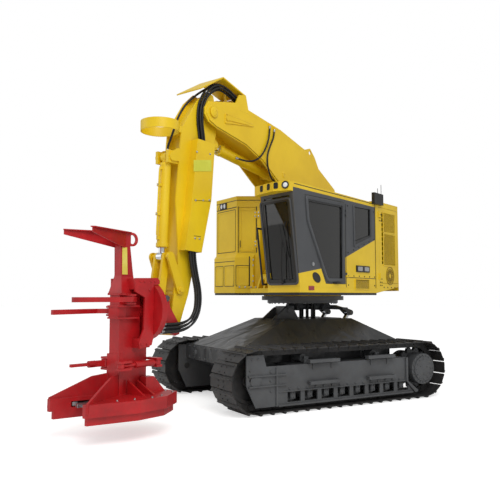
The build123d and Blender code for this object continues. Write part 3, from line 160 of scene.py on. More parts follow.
# the same spray masked along straight lines: grey window band over yellow panels
maskLines = [((0, -0.145, 1), 2.222 + 0.145 * 2.307), ((0, -0.337, 1), 2.562 + 0.337 * 0.785), ((0, 0, -1), -3.535)]
cabEnamel = paint("maskedCabEnamel", {**yellowLook, "second": {**greyTone, "lines": maskLines}})
greyEnamel = paint("sprayedGreyEnamel", {**yellowLook, **greyTone, "edge": "#6E7175", "roughness": 0.45})
# enamel on the head, knocked and scratched by stems: duller red with pale rubbed edges
redEnamel = paint("scratchedRedEnamel", coat("#C4191F", "#A81218", "#E0484C", 0.5, 0.35, 0.008, 0.36, 0.12, dust=0.22,
                                             dustColour="#5A3A34", dustTop=2.6, dustHigh=0.2))
# chassis paint: dark satin grey that shows dust first on its low faces
chassisPaint = paint("satinChassisPaint", coat("#56585A", "#48494B", "#7C7E80", 0.5, 0.4, 0.008, 0.42, 0.14,
                                               dust=0.15, dustColour="#5A524B", dustTop=1.5, dustHigh=0.15))
# the rubber-skinned hood over the levelling gear: the same grey with soft folds and more sheen
hoodSkin = paint("foldedHoodSkin", coat("#48494B", "#3A3B3C", "#6A6C6E", 0.2, 0.6, 0.01, 0.3, 0.08, dust=0.08,
                                        dustColour="#5A524B", dustTop=1.5, foldSize=0.45))
blackPaint = paint("satinBlackPaint", coat("#151515", "#0E0E0F", "#55575A", 0.35, 0.5, 0.006, 0.4, 0.08))
# forged track steel: dark oxide, rust-brown soil rubbed in, bright where it scrapes
trackSteel = paint("forgedTrackSteel", coat("#3E3E3F", "#2C2C2D", "#8E8C88", 0.6, 0.22, 0.006, 0.46, 0.25, dust=0.35,
                                            dustColour="#5A524B", dustTop=1.2, dustHigh=0.55, metal=0.35,
                                            edgeRound=0.003))
# hard chrome on ground rods: near-mirror steel with faint wiping marks
chromeRod = paint("groundChrome", coat("#E2E4E8", "#CFD2D6", "#F4F4F6", 0.1, 0.3, 0.004, 0.14, 0.02, metal=1))
# saw steel: ground plate with circular wear, greyer teeth
sawSteel = paint("groundSawSteel", coat("#B9BBBD", "#8E9092", "#E8E8EA", 0.6, 0.08, 0.005, 0.32, 0.15, metal=0.9,
                                        edgeRound=0.002))
engineIron = paint("castIronBlock", coat("#4B4D4F", "#38393B", "#77797B", 0.3, 0.1, 0.004, 0.7, 0.4, metal=0.3))
chairFabric = paint("wovenChairFabric", coat("#2C2D30", "#1F2022", "#3E4044", 0.2, 0.05, 0.003, 0.85, 0.5))


def smallPaint(name, *values, **more):  # for small pieces, whose worn edges are fine
    return paint(name, coat(*values, edgeRound=0.001, **more))


# zinc-plated fittings: pale, slightly mottled plated steel
zincFitting = smallPaint("zincPlate", "#C6C8CA", "#A4A6A8", "#E4E4E6", 0.3, 0.05, 0.003, 0.3, 0.05, metal=1)
# EPDM hose cover and window gaskets: near-black matt rubber
hoseRubber = smallPaint("hoseCoverRubber", "#151516", "#0E0E0F", "#2A2A2C", 0.2, 0.06, 0.003, 0.58, 0.2)
# nylon spiral guard over the hoses: grey-black with a soft plastic sheen
sleevePlastic = smallPaint("spiralSleeveNylon", "#242527", "#18191A", "#4A4B4E", 0.3, 0.05, 0.004, 0.4, 0.1)
blankLabel = smallPaint("blankYellowGreenPlate", "#D8D94A", "#CFCF3C", "#F2F2B0", 0.1, 0.2, 0.004, 0.35, 0.03)
paleLabel = smallPaint("blankPaleStrip", "#E9DD6A", "#DFCF50", "#F4EDB8", 0.1, 0.2, 0.004, 0.35, 0.03)
clearLens = smallPaint("mouldedLampLens", "#F2F4F6", "#DDE2E6", "#FFFFFF", 0.1, 0.02, 0.004, 0.12, 0.3, coat=0.6)
dullLens = smallPaint("frostedLampLens", "#A8A9A6", "#8C8D8B", "#C4C5C2", 0.1, 0.02, 0.004, 0.2, 0.3)
redLens = smallPaint("mouldedRedLens", "#A3121A", "#7E0C12", "#D24A50", 0.1, 0.02, 0.003, 0.15, 0.3, coat=0.6)
# dark backings: the printed black of a window border, and painted shade behind a louvre and a grille, a darker yellow
# for the yellow panel lying in shade behind slats and wire
windowShade = paint("darkWindowShade", coat("#1C1C1C", "#161617", "#2A2A2A", 0.1, 0.4, 0.01, 0.3, 0.02))
louvreShade = paint("shadedLouvreBacking", coat("#7A5F14", "#665012", "#8A7028", 0.1, 0.3, 0.008, 0.6, 0.2))
meshShade = paint("shadedMeshBacking", coat("#8E7218", "#7A6214", "#9A8030", 0.1, 0.3, 0.008, 0.6, 0.2))

smokedGlass, glassTree = newMaterial("tintedSafetyGlass")  # flat tempered pane: dark tint, sharp reflections
glassRipple = noise(glassTree, addNode(glassTree, "TexCoord").outputs["Object"], 2.5, 2)
glassBump = addNode(glassTree, "Bump", {"Height": glassRipple, "Strength": 0.04, "Distance": 0.01})
glassShader = addNode(glassTree, "BsdfPrincipled", {
    "Base Color": linear("#2A2A28"), "Roughness": 0.03, "IOR": 1.5, "Transmission Weight": 0.5,
    "Normal": glassBump.outputs["Normal"]})
addNode(glassTree, "OutputMaterial", {"Surface": glassShader.outputs["BSDF"]})

bySlot = {
    "yellow_paint": yellowEnamel, "red_paint": redEnamel, "dark_paint": chassisPaint, "grey_paint": greyEnamel,
    "track_steel": trackSteel, "chrome_rod": chromeRod, "smoked_glass": smokedGlass, "seat_fabric": chairFabric,
    "hose_rubber": hoseRubber, "engine_iron": engineIron, "saw_steel": sawSteel,
}
ownFinish = {"cab_shell": cabEnamel, "main_deck": yellowEnamel, "deck_rail": blackPaint, "antenna_box": blackPaint,
             "handrail": blackPaint, "light_bar": yellowEnamel, "car_body": hoodSkin}
for name, node in nodes.items():
    node.data.materials.clear()
    node.data.materials.append(ownFinish.get(name, bySlot[slotOf[name]]))
# what an added piece wears: its material and the slot that it belongs to
yellow, red, grey = (yellowEnamel, "yellow_paint"), (redEnamel, "red_paint"), (greyEnamel, "grey_paint")
chassis, black, zinc = (chassisPaint, "dark_paint"), (blackPaint, "dark_paint"), (zincFitting, "chrome_rod")
print("materials:", len(bpy.data.materials))


# Surfaces

def gridShell(points, roundRows=False):  # quads between rings of points, closed by flat caps or by the last ring
    rows, columns = points.shape[:2]
    r = np.arange(rows if roundRows else rows - 1)[:, None]
    c = np.arange(columns)[None, :]
    nextR, nextC = (r + 1) % rows, (c + 1) % columns
    quads = [r * columns + c, r * columns + nextC, nextR * columns + nextC, nextR * columns + c]
    faces = [np.stack(quads, -1).reshape(-1, 4)]
    if not roundRows:
        ends = np.arange(columns)
        faces += [ends[None, ::-1], (rows - 1) * columns + ends[None]]
    return points.reshape(-1, 3), faces


def stamped(shell, places, frames):  # copies of a shell: each point is place + frame x point
    points, faces = shell
    places = np.asarray(places, float).reshape(-1, 3)
    frames = np.broadcast_to(frames, (len(places), 3, 3))
    moved = places[:, None, :] + np.einsum("nij,pj->npi", frames, points)
    shift = (np.arange(len(places)) * len(points))[:, None, None]
    return moved.reshape(-1, 3), [(f[None] + shift).reshape(-1, f.shape[1]) for f in faces]


def joined(shells):
    counts = np.cumsum([0] + [len(points) for points, _ in shells])
    faces = [f + start for (_, group), start in zip(shells, counts) for f in group]
    return np.concatenate([points for points, _ in shells]), faces


def unit(vectors):
    return vectors / np.linalg.norm(vectors, axis=-1, keepdims=True)


def frameFor(normal, upward=None):  # axes with z out along the normal and y near the upward direction
    z = unit(np.asarray(normal, float))
    if upward is None:
        upward = (0, 1, 0) if abs(z[2]) > 0.9 else (0, 0, 1)
    x = unit(np.cross(upward, z))
    return np.stack([x, np.cross(z, x), z], 1)


def turnsAboutZ(angles):  # rotation matrices
    c, s = np.cos(angles), np.sin(angles)
    nought, one = np.zeros_like(c), np.ones_like(c)
    return np.stack([c, -s, nought, s, c, nought, nought, nought, one], -1).reshape(-1, 3, 3)


def distances(path):  # how far along a line each of its points lies
    return np.concatenate([[0], np.cumsum(np.linalg.norm(np.diff(path, axis=0), axis=1))])


def evenly(path, spacing, least):  # points at even distances along a line
    path = np.asarray(path, float)
    reach = distances(path)
    even = np.linspace(0, reach[-1], max(int(reach[-1] / spacing), least))
    return np.stack([np.interp(even, reach, path[:, i]) for i in range(3)], 1)


def circle(sides):  # unit directions x = cos t, y = sin t
    turn = 2 * np.pi * np.arange(sides) / sides
    return np.stack([np.cos(turn), np.sin(turn)], -1)


def rectangle(x0, y0, x1, y1):
    return [(x0, y0), (x1, y0), (x1, y1), (x0, y1)]


def raised(outline, height):
    return np.concatenate([outline, np.full((len(outline), 1), height)], 1)


def revolved(profile, sides):  # radius and height pairs turned about z: x = r cos t, y = r sin t, z = h
    profile = np.asarray(profile, float)
    return gridShell(np.stack([raised(circle(sides) * radius, height) for radius, height in profile]))


def slab(outline, thickness, chamfer):  # a flat outline raised along z, its top edge drawn in by the chamfer
    outline = np.asarray(outline, float)
    middle = outline.mean(0)
    drawn = 1 - chamfer / np.abs(outline - middle).max()
    rows = ((1, 0), (1, thickness - chamfer), (drawn, thickness))
    return gridShell(np.stack([raised(middle + (outline - middle) * share, height) for share, height in rows]))


def brick(low, high, chamfer):  # a box between two corners, its upright and top edges chamfered
    low, high = np.asarray(low, float), np.asarray(high, float)
    c = min(chamfer, (high - low)[:2].min() / 3)
    x = np.array([low[0] + c, high[0] - c, high[0], high[0], high[0] - c, low[0] + c, low[0], low[0]])
    y = np.array([low[1], low[1], low[1] + c, high[1] - c, high[1], high[1], high[1] - c, low[1] + c])
    points, faces = slab(np.stack([x, y], 1), high[2] - low[2], c)
    return points + np.array([0, 0, low[2]]), faces


def roundedOutline(corners, radius, steps=5):  # each corner becomes a parabola, a radius along both its sides
    corners = np.asarray(corners, float)
    before, after = np.roll(corners, 1, 0) - corners, np.roll(corners, -1, 0) - corners
    start, end = corners + unit(before) * radius, corners + unit(after) * radius
    t = np.linspace(0, 1, steps)[None, :, None]
    bend = (1 - t) ** 2 * start[:, None] + 2 * t * (1 - t) * corners[:, None] + t ** 2 * end[:, None]
    return bend.reshape(-1, 2)


def rimShell(outline, profile):  # a closed moulding: (outward, height) pairs carried round the outline
    along = unit(np.roll(outline, -1, 0) - np.roll(outline, 1, 0))
    area = np.sum(outline[:, 0] * np.roll(outline[:, 1], -1) - outline[:, 1] * np.roll(outline[:, 0], -1))
    outward = np.stack([along[:, 1], -along[:, 0]], 1) * np.sign(area)
    return gridShell(np.stack([raised(outline + outward * out, height) for out, height in profile]), roundRows=True)


def flatRim(corners, radius, low, high, height, foot=0.0):  # a rim of plain oblong section round rounded corners
    return rimShell(roundedOutline(corners, radius), [(low, foot), (low, height), (high, height), (high, foot)])


def tubeShell(path, radius, sides=10, across=(1, 0, 0), ridge=0.0, pitch=0.03):
    # a ring carried along the path: place + r (cos t side + sin t up), where r swells in a helix of that pitch
    path = np.asarray(path, float)
    along = unit(np.gradient(path, axis=0))
    up = unit(np.cross(along, across))
    side = np.cross(up, along)
    turn = 2 * np.pi * np.arange(sides) / sides
    helix = np.cos(2 * np.pi * distances(path)[:, None] / pitch - turn[None])
    radii = (radius + ridge * np.maximum(helix, 0))[..., None]
    ring = np.cos(turn)[None, :, None] * side[:, None] + np.sin(turn)[None, :, None] * up[:, None]
    return gridShell(path[:, None] + radii * ring)


def splinePath(route, spacing):  # even points along the smooth NURBS line of a route
    curve = bpy.data.curves.new("routeCurve", "CURVE")
    curve.dimensions = "3D"
    spline = curve.splines.new("NURBS")
    spline.points.add(len(route) - 1)
    spline.points.foreach_set("co", np.concatenate([np.asarray(route, float), np.ones((len(route), 1))], 1).ravel())
    spline.order_u = 3
    spline.use_endpoint_u = True
    spline.resolution_u = 16
    holder = bpy.data.objects.new("routeCurve", curve)
    mesh = bpy.data.meshes.new_from_object(holder)
    points = np.zeros(len(mesh.vertices) * 3)
    mesh.vertices.foreach_get("co", points)
    bpy.data.objects.remove(holder)
    bpy.data.curves.remove(curve)
    bpy.data.meshes.remove(mesh)
    return evenly(points.reshape(-1, 3), spacing, 8)


def addPiece(name, shells, body, finish, sharpAngle=35, ride=True):  # one mesh from shells, riding on a body
    material, slotName = finish
    points, faces = joined(shells)
    mesh = bpy.data.meshes.new(name)
    mesh.from_pydata(points.tolist(), [], [row for f in faces for row in f.tolist()])
    work = bmesh.new()
    work.from_mesh(mesh)
    bmesh.ops.remove_doubles(work, verts=work.verts, dist=1e-6)
    bmesh.ops.recalc_face_normals(work, faces=work.faces)
    work.to_mesh(mesh)
    work.free()
    mesh.polygons.foreach_set("use_smooth", np.ones(len(mesh.polygons), bool))
    mesh.set_sharp_from_angle(angle=math.radians(sharpAngle))
    mesh.materials.append(material)
    piece = bpy.data.objects.new(name, mesh)
    bpy.context.scene.collection.objects.link(piece)
    if ride:
        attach(piece, body)
    return piece


toLeft, toFront, toGround, toSky = (1, 0, 0), (0, -1, 0), (0, 0, -1), (0, 0, 1)


def boltShell(size):  # hexagon head on a round washer; size is the head's radius
    washer = revolved([(size * 1.45, 0), (size * 1.45, size * 0.22), (size * 1.3, size * 0.3)], 12)
    head = revolved([(size, size * 0.3), (size, size * 0.95), (size * 0.82, size * 1.1)], 6)
    return joined([washer, head])


def boltsOn(places, normal, size):
    return stamped(boltShell(size), places, frameFor(normal))


def roundOn(places, normal, profile, sides):  # a turned form at each place, its axis along the normal
    return stamped(revolved(profile, sides), places, frameFor(normal))


def ringPlaces(count, radius, centre, normal, start=0.0):  # evenly round a circle
    turn = start + 2 * np.pi * np.arange(count) / count
    flat = np.stack([radius * np.cos(turn), radius * np.sin(turn), np.zeros(count)], 1)
    return np.asarray(centre, float) + flat @ frameFor(normal).T


def onPlane(shell, origin, normal):  # a shell drawn flat goes onto a plane through the origin, its y axis upward
    return stamped(shell, [origin], frameFor(normal))


def addFlat(name, shells, origin, normal, finish, body="upper"):  # a piece from shells drawn flat on one plane
    addPiece(name, [onPlane(shell, origin, normal) for shell in shells], body, finish)


def onFlank(name, shells, x, finish, body):  # drawn in y and z, facing left at that distance from the middle
    addFlat(name, shells, (x, 0, 0), toLeft, finish, body)


undercarriageYaw = turnsAboutZ(np.radians([-22.27]))[0]


def underTrack(shell):  # from the undercarriage's straight frame to its place under the machine
    return shell[0] @ undercarriageYaw.T, shell[1]


def mirroredX(shell):
    return shell[0] * np.array([-1, 1, 1]), shell[1]


def bothTracks(shells):
    return [underTrack(shell) for shell in shells] + [underTrack(mirroredX(shell)) for shell in shells]


# Tracks: rigid shoes on a chain, one stamp per pitch

track = {"gauge": 2.645, "count": 46, "radius": 0.497, "idlerY": -1.99, "sprocketY": 1.586, "axle": 0.525}
link = {"half": 0.052, "out": 0.068, "crank": 0.017, "thick": 0.015, "drop": 0.0665}
straight = track["sprocketY"] - track["idlerY"]
pitch = (2 * straight + 2 * math.pi * track["radius"]) / track["count"]


def loopFrames(travelled):
    # place and axes along the loop: two straight runs and two half turns. Axes are across, along, outward
    radius, idlerY, sprocketY = track["radius"], track["idlerY"], track["sprocketY"]
    halfTurn = math.pi * radius
    d = np.mod(travelled, 2 * straight + 2 * halfTurn)
    rear = np.clip((d - straight) / radius, 0, math.pi)
    front = np.clip((d - 2 * straight - halfTurn) / radius, 0, math.pi)
    angle = -math.pi / 2 + rear + front
    returning = np.maximum(sprocketY - (d - straight - halfTurn), idlerY)
    centreY = np.where(d > straight + halfTurn, returning, np.where(d < straight, idlerY + d, sprocketY))
    nought = np.zeros_like(d)
    outward = np.stack([nought, np.cos(angle), np.sin(angle)], 1)
    along = np.stack([nought, -np.sin(angle), np.cos(angle)], 1)
    across = np.tile([1.0, 0, 0], (len(d), 1))
    place = np.stack([nought, centreY, np.full_like(d, track["axle"])], 1) + outward * radius
    return place, np.stack([across, along, outward], 2)


def shoeShell():
    # a rolled section, along and outward, carried across the track; its ends are drawn in and the bar drops there
    section = np.array([(-104, -14), (104, -14), (104, -3), (100, 0), (-48, 0), (-54, 7), (-57, 28), (-79, 28),
                        (-83, 7), (-89, 0), (-101, 0), (-104, -3)]) / 1000
    # across, share of the width, share of the bar's height
    stations = np.array([(-0.355, 0.93, 0.55), (-0.338, 1, 1), (0.338, 1, 1), (0.355, 0.93, 0.55)])
    rows = np.zeros((len(stations), len(section), 3))
    rows[..., 0] = stations[:, :1]
    rows[..., 1] = section[None, :, 0] * stations[:, 1:2]
    rows[..., 2] = np.where(section[None, :, 1] > 0, section[None, :, 1] * stations[:, 2:], section[None, :, 1])
    return gridShell(rows)


def linkShell():
    # a link plate: a round-ended outline, cranked so that its front end lies outside the next one's rear end
    turn = np.linspace(-math.pi / 2, math.pi / 2, 7)
    x, y = pitch / 2 + link["half"] * np.cos(turn), link["half"] * np.sin(turn)
    ends = np.concatenate([np.stack([x, y], 1), np.stack([-x, -y], 1)])
    crank = link["out"] - ends[:, 0] / pitch * link["crank"]
    rows = [np.stack([crank + side * link["thick"] / 2, ends[:, 0], ends[:, 1] - link["drop"]], 1)
            for side in (-1, 1)]
    return gridShell(np.stack(rows))


shoePlace, shoeFrame = loopFrames((np.arange(track["count"]) + 0.5) * pitch)
pinPlace, pinFrame = loopFrames(np.arange(track["count"]) * pitch)
pinAxes = np.stack([pinFrame[:, :, 2], pinFrame[:, :, 1], -pinFrame[:, :, 0]], 2)
shoeBolts = np.array([(x, y, 0.0) for x in (-0.085, 0.085) for y in (-0.02, 0.065)])
boltHead = revolved([(0.016, 0), (0.016, 0.006), (0.011, 0.01)], 6)
pin = revolved([(0.024, -0.092), (0.024, 0.092)], 10)
for sign, bodyName in ((1, "left"), (-1, "right")):
    middle = np.array([sign * track["gauge"] / 2, 0, 0])
    spots = (shoePlace[:, None] + middle + np.einsum("nij,pj->npi", shoeFrame, shoeBolts)).reshape(-1, 3)
    shoes = [stamped(shoeShell(), shoePlace + middle, shoeFrame),
             stamped(boltHead, spots, np.repeat(shoeFrame, len(shoeBolts), 0))]
    chains = [stamped(plate, shoePlace + middle, shoeFrame) for plate in (linkShell(), mirroredX(linkShell()))]
    chains.append(stamped(pin, pinPlace + middle - pinFrame[:, :, 2] * link["drop"], pinAxes))
    # pressed flat where they meet the ground
    shoes = [(points * (1, 1, 0) + np.maximum(points, 0) * (0, 0, 1), faces) for points, faces in shoes]
    steel = (trackSteel, "track_steel")
    shoePiece = addPiece("shoes_" + bodyName, [underTrack(s) for s in shoes], "undercarriage", steel)
    addPiece("chain_" + bodyName, [underTrack(s) for s in chains], "undercarriage", steel)
    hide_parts("track_" + bodyName)
print("tracks:", track["count"], "shoes a side, pitch", round(pitch, 4))

# Undercarriage: covers and bolts

under = {"outX": 1.5725, "beamFaceY": -2.01, "rollerY": -1.27 + 0.34 * np.arange(8), "carrierY": (-0.98, 0.56)}
outX, faceY, sideX = under["outX"], under["beamFaceY"], track["gauge"] / 2
drive = np.array((outX, track["sprocketY"], track["axle"]))
idler = np.array((outX, track["idlerY"], track["axle"]))
driveRings = [  # count, radius, distance out, first angle, size
    (20, 0.252, 0.04, 0.0, 0.014), (12, 0.185, 0.058, 0.0, 0.012), (3, 0.09, 0.062, 0.5, 0.014)]
driveBolts = [boltsOn(ringPlaces(count, radius, drive + (out, 0, 0), toLeft, start), toLeft, size)
              for count, radius, out, start, size in driveRings]
driveCap = [(0.14, 0), (0.14, 0.006), (0.125, 0.012), (0.03, 0.016)]
driveBolts.append(roundOn([drive + (0.05, 0, 0)], toLeft, driveCap, 32))
addPiece("final_drive_bolts", bothTracks(driveBolts), "undercarriage", chassis)
idlerCap = [roundOn([idler + (0.002, 0, 0)], toLeft, [(0.105, 0), (0.105, 0.008), (0.09, 0.014), (0.05, 0.018)], 28),
            boltsOn(ringPlaces(6, 0.08, idler + (0.012, 0, 0), toLeft), toLeft, 0.01)]
addPiece("idler_caps", bothTracks(idlerCap), "undercarriage", chassis)
rollerBolts = [(sideX + 0.214, y + dy, 0.242 + dz) for y in under["rollerY"] for dy in (-0.026, 0.026)
               for dz in (-0.018, 0.05)]
beamBolts = [(outX, y + dy, 0.372) for y in under["rollerY"] for dy in (-0.085, 0.085)]
carrierBolts = [(sideX + 0.188, y + dy, z) for y in under["carrierY"] for dy in (-0.022, 0.022)
                for z in (0.79, 0.845)]
plateBolts = [(outX, y, z) for y, z in ((-2.06, 0.87), (-1.95, 0.87), (-2.1, 0.7), (-2.1, 0.36), (-1.72, 0.66),
                                        (-1.72, 0.52), (-1.72, 0.36), (1.21, 0.68), (1.21, 0.4))]
frameBolts = [boltsOn(spots, toLeft, size) for spots, size in (
    (rollerBolts, 0.0136), (beamBolts, 0.016), (carrierBolts, 0.0128), (plateBolts, 0.016))]
addPiece("frame_bolts", bothTracks(frameBolts), "undercarriage", chassis)
beamFront = [boltsOn([(x, faceY, z) for x in np.linspace(-0.9, 0.9, 9) for z in (0.72, 0.915)], toFront, 0.014),
             roundOn([(-0.62, faceY, 0.815), (0.62, faceY, 0.815)], toFront, [(0.05, 0), (0.05, 0.012), (0.038, 0.018)],
                     24)]
addPiece("front_beam_bolts", [underTrack(shell) for shell in beamFront], "undercarriage", chassis)
addPiece("slewing_ring_bolts", [boltsOn(ringPlaces(36, 0.655, (0, 0, 1.735), toGround), toGround, 0.014)],
         "levelling_table", chassis)

# Cab: window mouldings, panes, lamps and small fittings on its outer faces

cabX = 1.45


def flatPane(corners, radius, thickness):
    return slab(roundedOutline(corners, radius), thickness, 0.001)


def moulding(corners, radius, width, height):  # a raised frame round a window: inner lip, top and outer lip
    profile = [(-width, 0), (-width, height * 0.55), (-width * 0.75, height), (-width * 0.2, height),
               (0, height * 0.45), (0, 0)]
    return rimShell(roundedOutline(corners, radius), profile)


def border(outer, inner, radius, low, high):  # a flat printed border between two outlines of like corners
    wide, narrow = roundedOutline(outer, radius), roundedOutline(inner, radius)
    return gridShell(np.stack([raised(wide, low), raised(wide, high), raised(narrow, high), raised(narrow, low)]),
                     roundRows=True)


def onCab(name, shells, finish, body="upper"):
    onFlank(name, shells, cabX, finish, body)


shade = (windowShade, "dark_paint")
doorWindow = [(-2.15, 3.452), (-0.915, 3.474), (-0.945, 2.105), (-1.512, 2.095), (-2.098, 3.035)]
rearWindow = [(-0.59, 3.495), (0.115, 3.512), (0.11, 2.92), (-0.57, 2.715)]
onCab("door_moulding", [moulding(doorWindow, 0.07, 0.062, 0.022)], grey, "door")
onCab("rear_window_moulding", [moulding(rearWindow, 0.05, 0.045, 0.016)], grey)
doorBorder = [(-2.098, 3.4), (-0.965, 3.424), (-0.995, 2.155), (-1.48, 2.147), (-2.046, 3.03)]
doorPane = [(-2.055, 3.365), (-0.999, 3.387), (-0.967, 2.168), (-1.483, 2.168), (-2.015, 3.05)]
rearBorder = [(-0.552, 3.46), (0.078, 3.476), (0.074, 2.948), (-0.534, 2.752)]
rearPane = [(-0.56, 3.462), (0.079, 3.482), (0.079, 2.992), (-0.536, 2.834)]
onCab("door_window_border", [border(doorBorder, doorPane, 0.03, -0.002, 0.004)], shade, "door")
onCab("rear_window_border", [border(rearBorder, rearPane, 0.03, -0.002, 0.004)], shade)
grip = [(-1.28, 2.087, 0.015), (-1.28, 2.087, 0.05), (-1.14, 2.087, 0.05), (-1.14, 2.087, 0.015)]
onCab("door_handle", [brick((-1.3, 2.075, 0), (-1.12, 2.1, 0.02), 0.005),
                      tubeShell(grip, 0.008, 8, across=(0, 1, 0))], black, "door")
seams = [brick((-0.865, 2.02, -0.002), (-0.85, 3.46, 0.003), 0.001),
         brick((-0.86, 2.185, -0.001), (0.27, 2.195, 0.002), 0.001),
         brick((-2.46, 3.585, -0.001), (0.27, 3.597, 0.002), 0.001),
         brick((0.262, 2.02, -0.001), (0.276, 3.59, 0.002), 0.001)]
onCab("cab_seams", seams, black)
onCab("lens_box", [brick((-0.5, 2.295, 0), (0.0, 2.41, 0.022), 0.006)], black)
onCab("pale_lenses", [flatPane(rectangle(y - 0.085, 2.315, y + 0.085, 2.39), 0.02, 0.026) for y in (-0.375, -0.125)],
      (dullLens, "grey_paint"))
louvre = [brick((-0.53, z, 0.0), (-0.02, z + 0.008, 0.014), 0.002) for z in np.arange(1.998, 2.155, 0.019)]
louvre.append(flatRim(rectangle(-0.545, 1.985, -0.005, 2.165), 0.01, -0.014, 0, 0.014))
onCab("cab_louvre", louvre, yellow)
# painted shade: a darker yellow sheet behind the slats, where the yellow panel lies in shade
onCab("louvre_painted_shade", [brick((-0.54, 1.99, -0.002), (-0.01, 2.16, 0.002), 0.0005)], (louvreShade, "yellow_paint"))
oval = circle(24) * (0.12, 0.078) @ np.array([[1, -0.25], [0, 1]]) + (-1.828, 2.164)
onCab("cab_oval_cap", [slab(oval, 0.008, 0.003)], black)
onCab("cab_red_reflector", [brick((-2.067, 1.962, 0), (-1.906, 2.028, 0.008), 0.002)], (redLens, "red_paint"))
latch = roundOn([(cabX, -1.93, 2.376)], toLeft, [(0.032, 0), (0.032, 0.01), (0.022, 0.016)], 20)
addPiece("cab_latch", [latch], "door", zinc)
rowY = np.arange(-0.78, 0.25, 0.2)
panelBolts = [(y, z) for z in (2.06, 3.44) for y in (-0.78, 0.22)] + [(y, 2.22) for y in rowY] \
    + [(y, 2.62 + 0.3 * (y + 0.78)) for y in rowY]
addPiece("cab_panel_bolts", [boltsOn([(cabX, y, z) for y, z in panelBolts], toLeft, 0.009)], "upper", black)

# Windscreen: the whole swept front face is one dark frame round a large pane

screen = {"sweep": math.radians(12.74), "level": 0.9919, "drop": -0.1273, "corner": (1.45, -2.31, 2.01)}
screenNormal = (-math.sin(screen["sweep"]) * screen["level"], -math.cos(screen["sweep"]) * screen["level"],
                screen["drop"])


def onScreen(name, shells, finish):
    addFlat(name, shells, screen["corner"], screenNormal, finish)


def fineTube(path, radius):
    return tubeShell(path, radius, 8, across=(0, 0, 1))


onScreen("windscreen_moulding", [moulding(rectangle(-0.742, 1.395, -0.008, 0.03), 0.09, 0.034, 0.02)], grey)
onScreen("windscreen_border", [border(rectangle(-0.715, 1.365, -0.035, 0.056), rectangle(-0.66, 1.33, -0.088, 0.122),
                                      0.04, -0.002, 0.005)], shade)
onScreen("windscreen_gasket", [
    fineTube([(-0.2, 0.1, 0.012), (-0.2, 0.95, 0.012), (-0.17, 1.02, 0.012)], 0.007),  # the seal's joint
    fineTube([(-0.36, 0.075, 0.03), (-0.34, 0.3, 0.035), (-0.27, 0.72, 0.03)], 0.008),  # the wiper's arm
    fineTube([(-0.23, 0.46, 0.018), (-0.27, 0.72, 0.02), (-0.31, 0.98, 0.018)], 0.007),  # its blade
    stamped(revolved([(0.028, 0), (0.028, 0.03), (0.018, 0.04)], 14), [(-0.36, 0.075, 0.0)], np.eye(3))],
    (hoseRubber, "hose_rubber"))
print("cab faces dressed")

# Light bar: black pockets and a round lamp on its two faces

barKnee = np.array((1.185, -2.639, 3.555))
barLeft = {"normal": (0.2209, -0.9753, 0), "along": np.array((0.9753, 0.2209, 0))}
barRight = {"normal": (-0.3305, -0.9438, 0), "along": np.array((0.9438, -0.3305, 0))}
pocket = [flatRim(rectangle(-0.03, -0.043, 0.03, 0.043), 0.014, -0.006, 0.006, 0.006),
          flatPane(rectangle(-0.028, -0.041, 0.028, 0.041), 0.012, 0.002)]
pockets = [onPlane(shell, barKnee + face["along"] * reach, face["normal"])
           for face, reach in ((barLeft, 0.045), (barRight, -0.124), (barRight, -0.315)) for shell in pocket]
addPiece("light_bar_pockets", pockets, "upper", black)
lampPlace = barKnee + barLeft["along"] * 0.204
bezel = revolved([(0.034, 0.0), (0.056, 0.0), (0.06, 0.014), (0.052, 0.022), (0.04, 0.014), (0.034, 0.006)], 32)
addFlat("bar_lamp_bezel", [bezel], lampPlace, barLeft["normal"], black)
domed = revolved([(0.04, 0.006), (0.036, 0.016), (0.024, 0.022), (0.01, 0.024)], 24)
addFlat("bar_lamp_lens", [domed], lampPlace, barLeft["normal"], (clearLens, "grey_paint"))

# Housing behind the cab: fine mesh over a backing painted darker yellow as shade, a round vent in the same painted
# shade, and bolts

meshAreas = [(0.62, 3.1, 1.13, 3.47), (0.62, 2.46, 1.13, 3.06)]
wire = {"width": 0.003, "spacing": 0.016, "low": 0.002, "high": 0.006}
wires, backing = [], []
for y0, z0, y1, z1 in meshAreas:
    wires += [brick((y, z0, wire["low"]), (y + wire["width"], z1, wire["high"]), 0.0005)
              for y in np.arange(y0, y1, wire["spacing"])]
    wires += [brick((y0, z, wire["low"]), (y1, z + wire["width"], wire["high"]), 0.0005)
              for z in np.arange(z0, z1, wire["spacing"])]
    wires.append(flatRim(rectangle(y0 - 0.01, z0 - 0.01, y1 + 0.01, z1 + 0.01), 0.015, -0.012, 0.012, 0.01))
    backing.append(brick((y0, z0, -0.002), (y1, z1, 0.001), 0.0005))
# painted shade: a darker yellow behind the wire and on the round vent, where the yellow panel lies in shade
meshPaintedShade = (meshShade, "yellow_paint")
onCab("intake_mesh", wires, yellow, "intake_door")
onCab("intake_painted_shade", backing, meshPaintedShade, "intake_door")
vent = {"centre": (0.89, 2.258), "rings": (0.17, 0.13, 0.055), "slots": 20, "half": 0.006, "height": 0.008}
ringProfile = [(-vent["half"], 0), (-vent["half"], vent["height"]), (vent["half"], vent["height"]), (vent["half"], 0)]
ventShells = [rimShell(circle(24) * radius + vent["centre"], ringProfile) for radius in vent["rings"]]
ventSlots = stamped(brick((0.07, -0.007, 0), (0.115, 0.007, 0.006), 0.001), [(*vent["centre"], 0)] * vent["slots"],
                    turnsAboutZ(2 * np.pi * np.arange(vent["slots"]) / vent["slots"]))
# the vent's rings and slots wear the same painted shade
onCab("round_vent", ventShells + [ventSlots], meshPaintedShade, "intake_door")
doorBolts = [(y, z) for group in ((3.3, 3.36, 3.42), (2.07, 2.13, 2.19)) for y in (0.47, 0.53) for z in group] \
    + [(y, 2.035) for y in (0.62, 0.78, 0.94, 1.1)]
addPiece("intake_door_bolts", [boltsOn([(cabX, y, z) for y, z in doorBolts], toLeft, 0.009)], "intake_door", black)
print("rear housing dressed")

# Engine housing: two front faces that meet at a knee, with raised leaves, dark gaps, hinges and a lamp pair


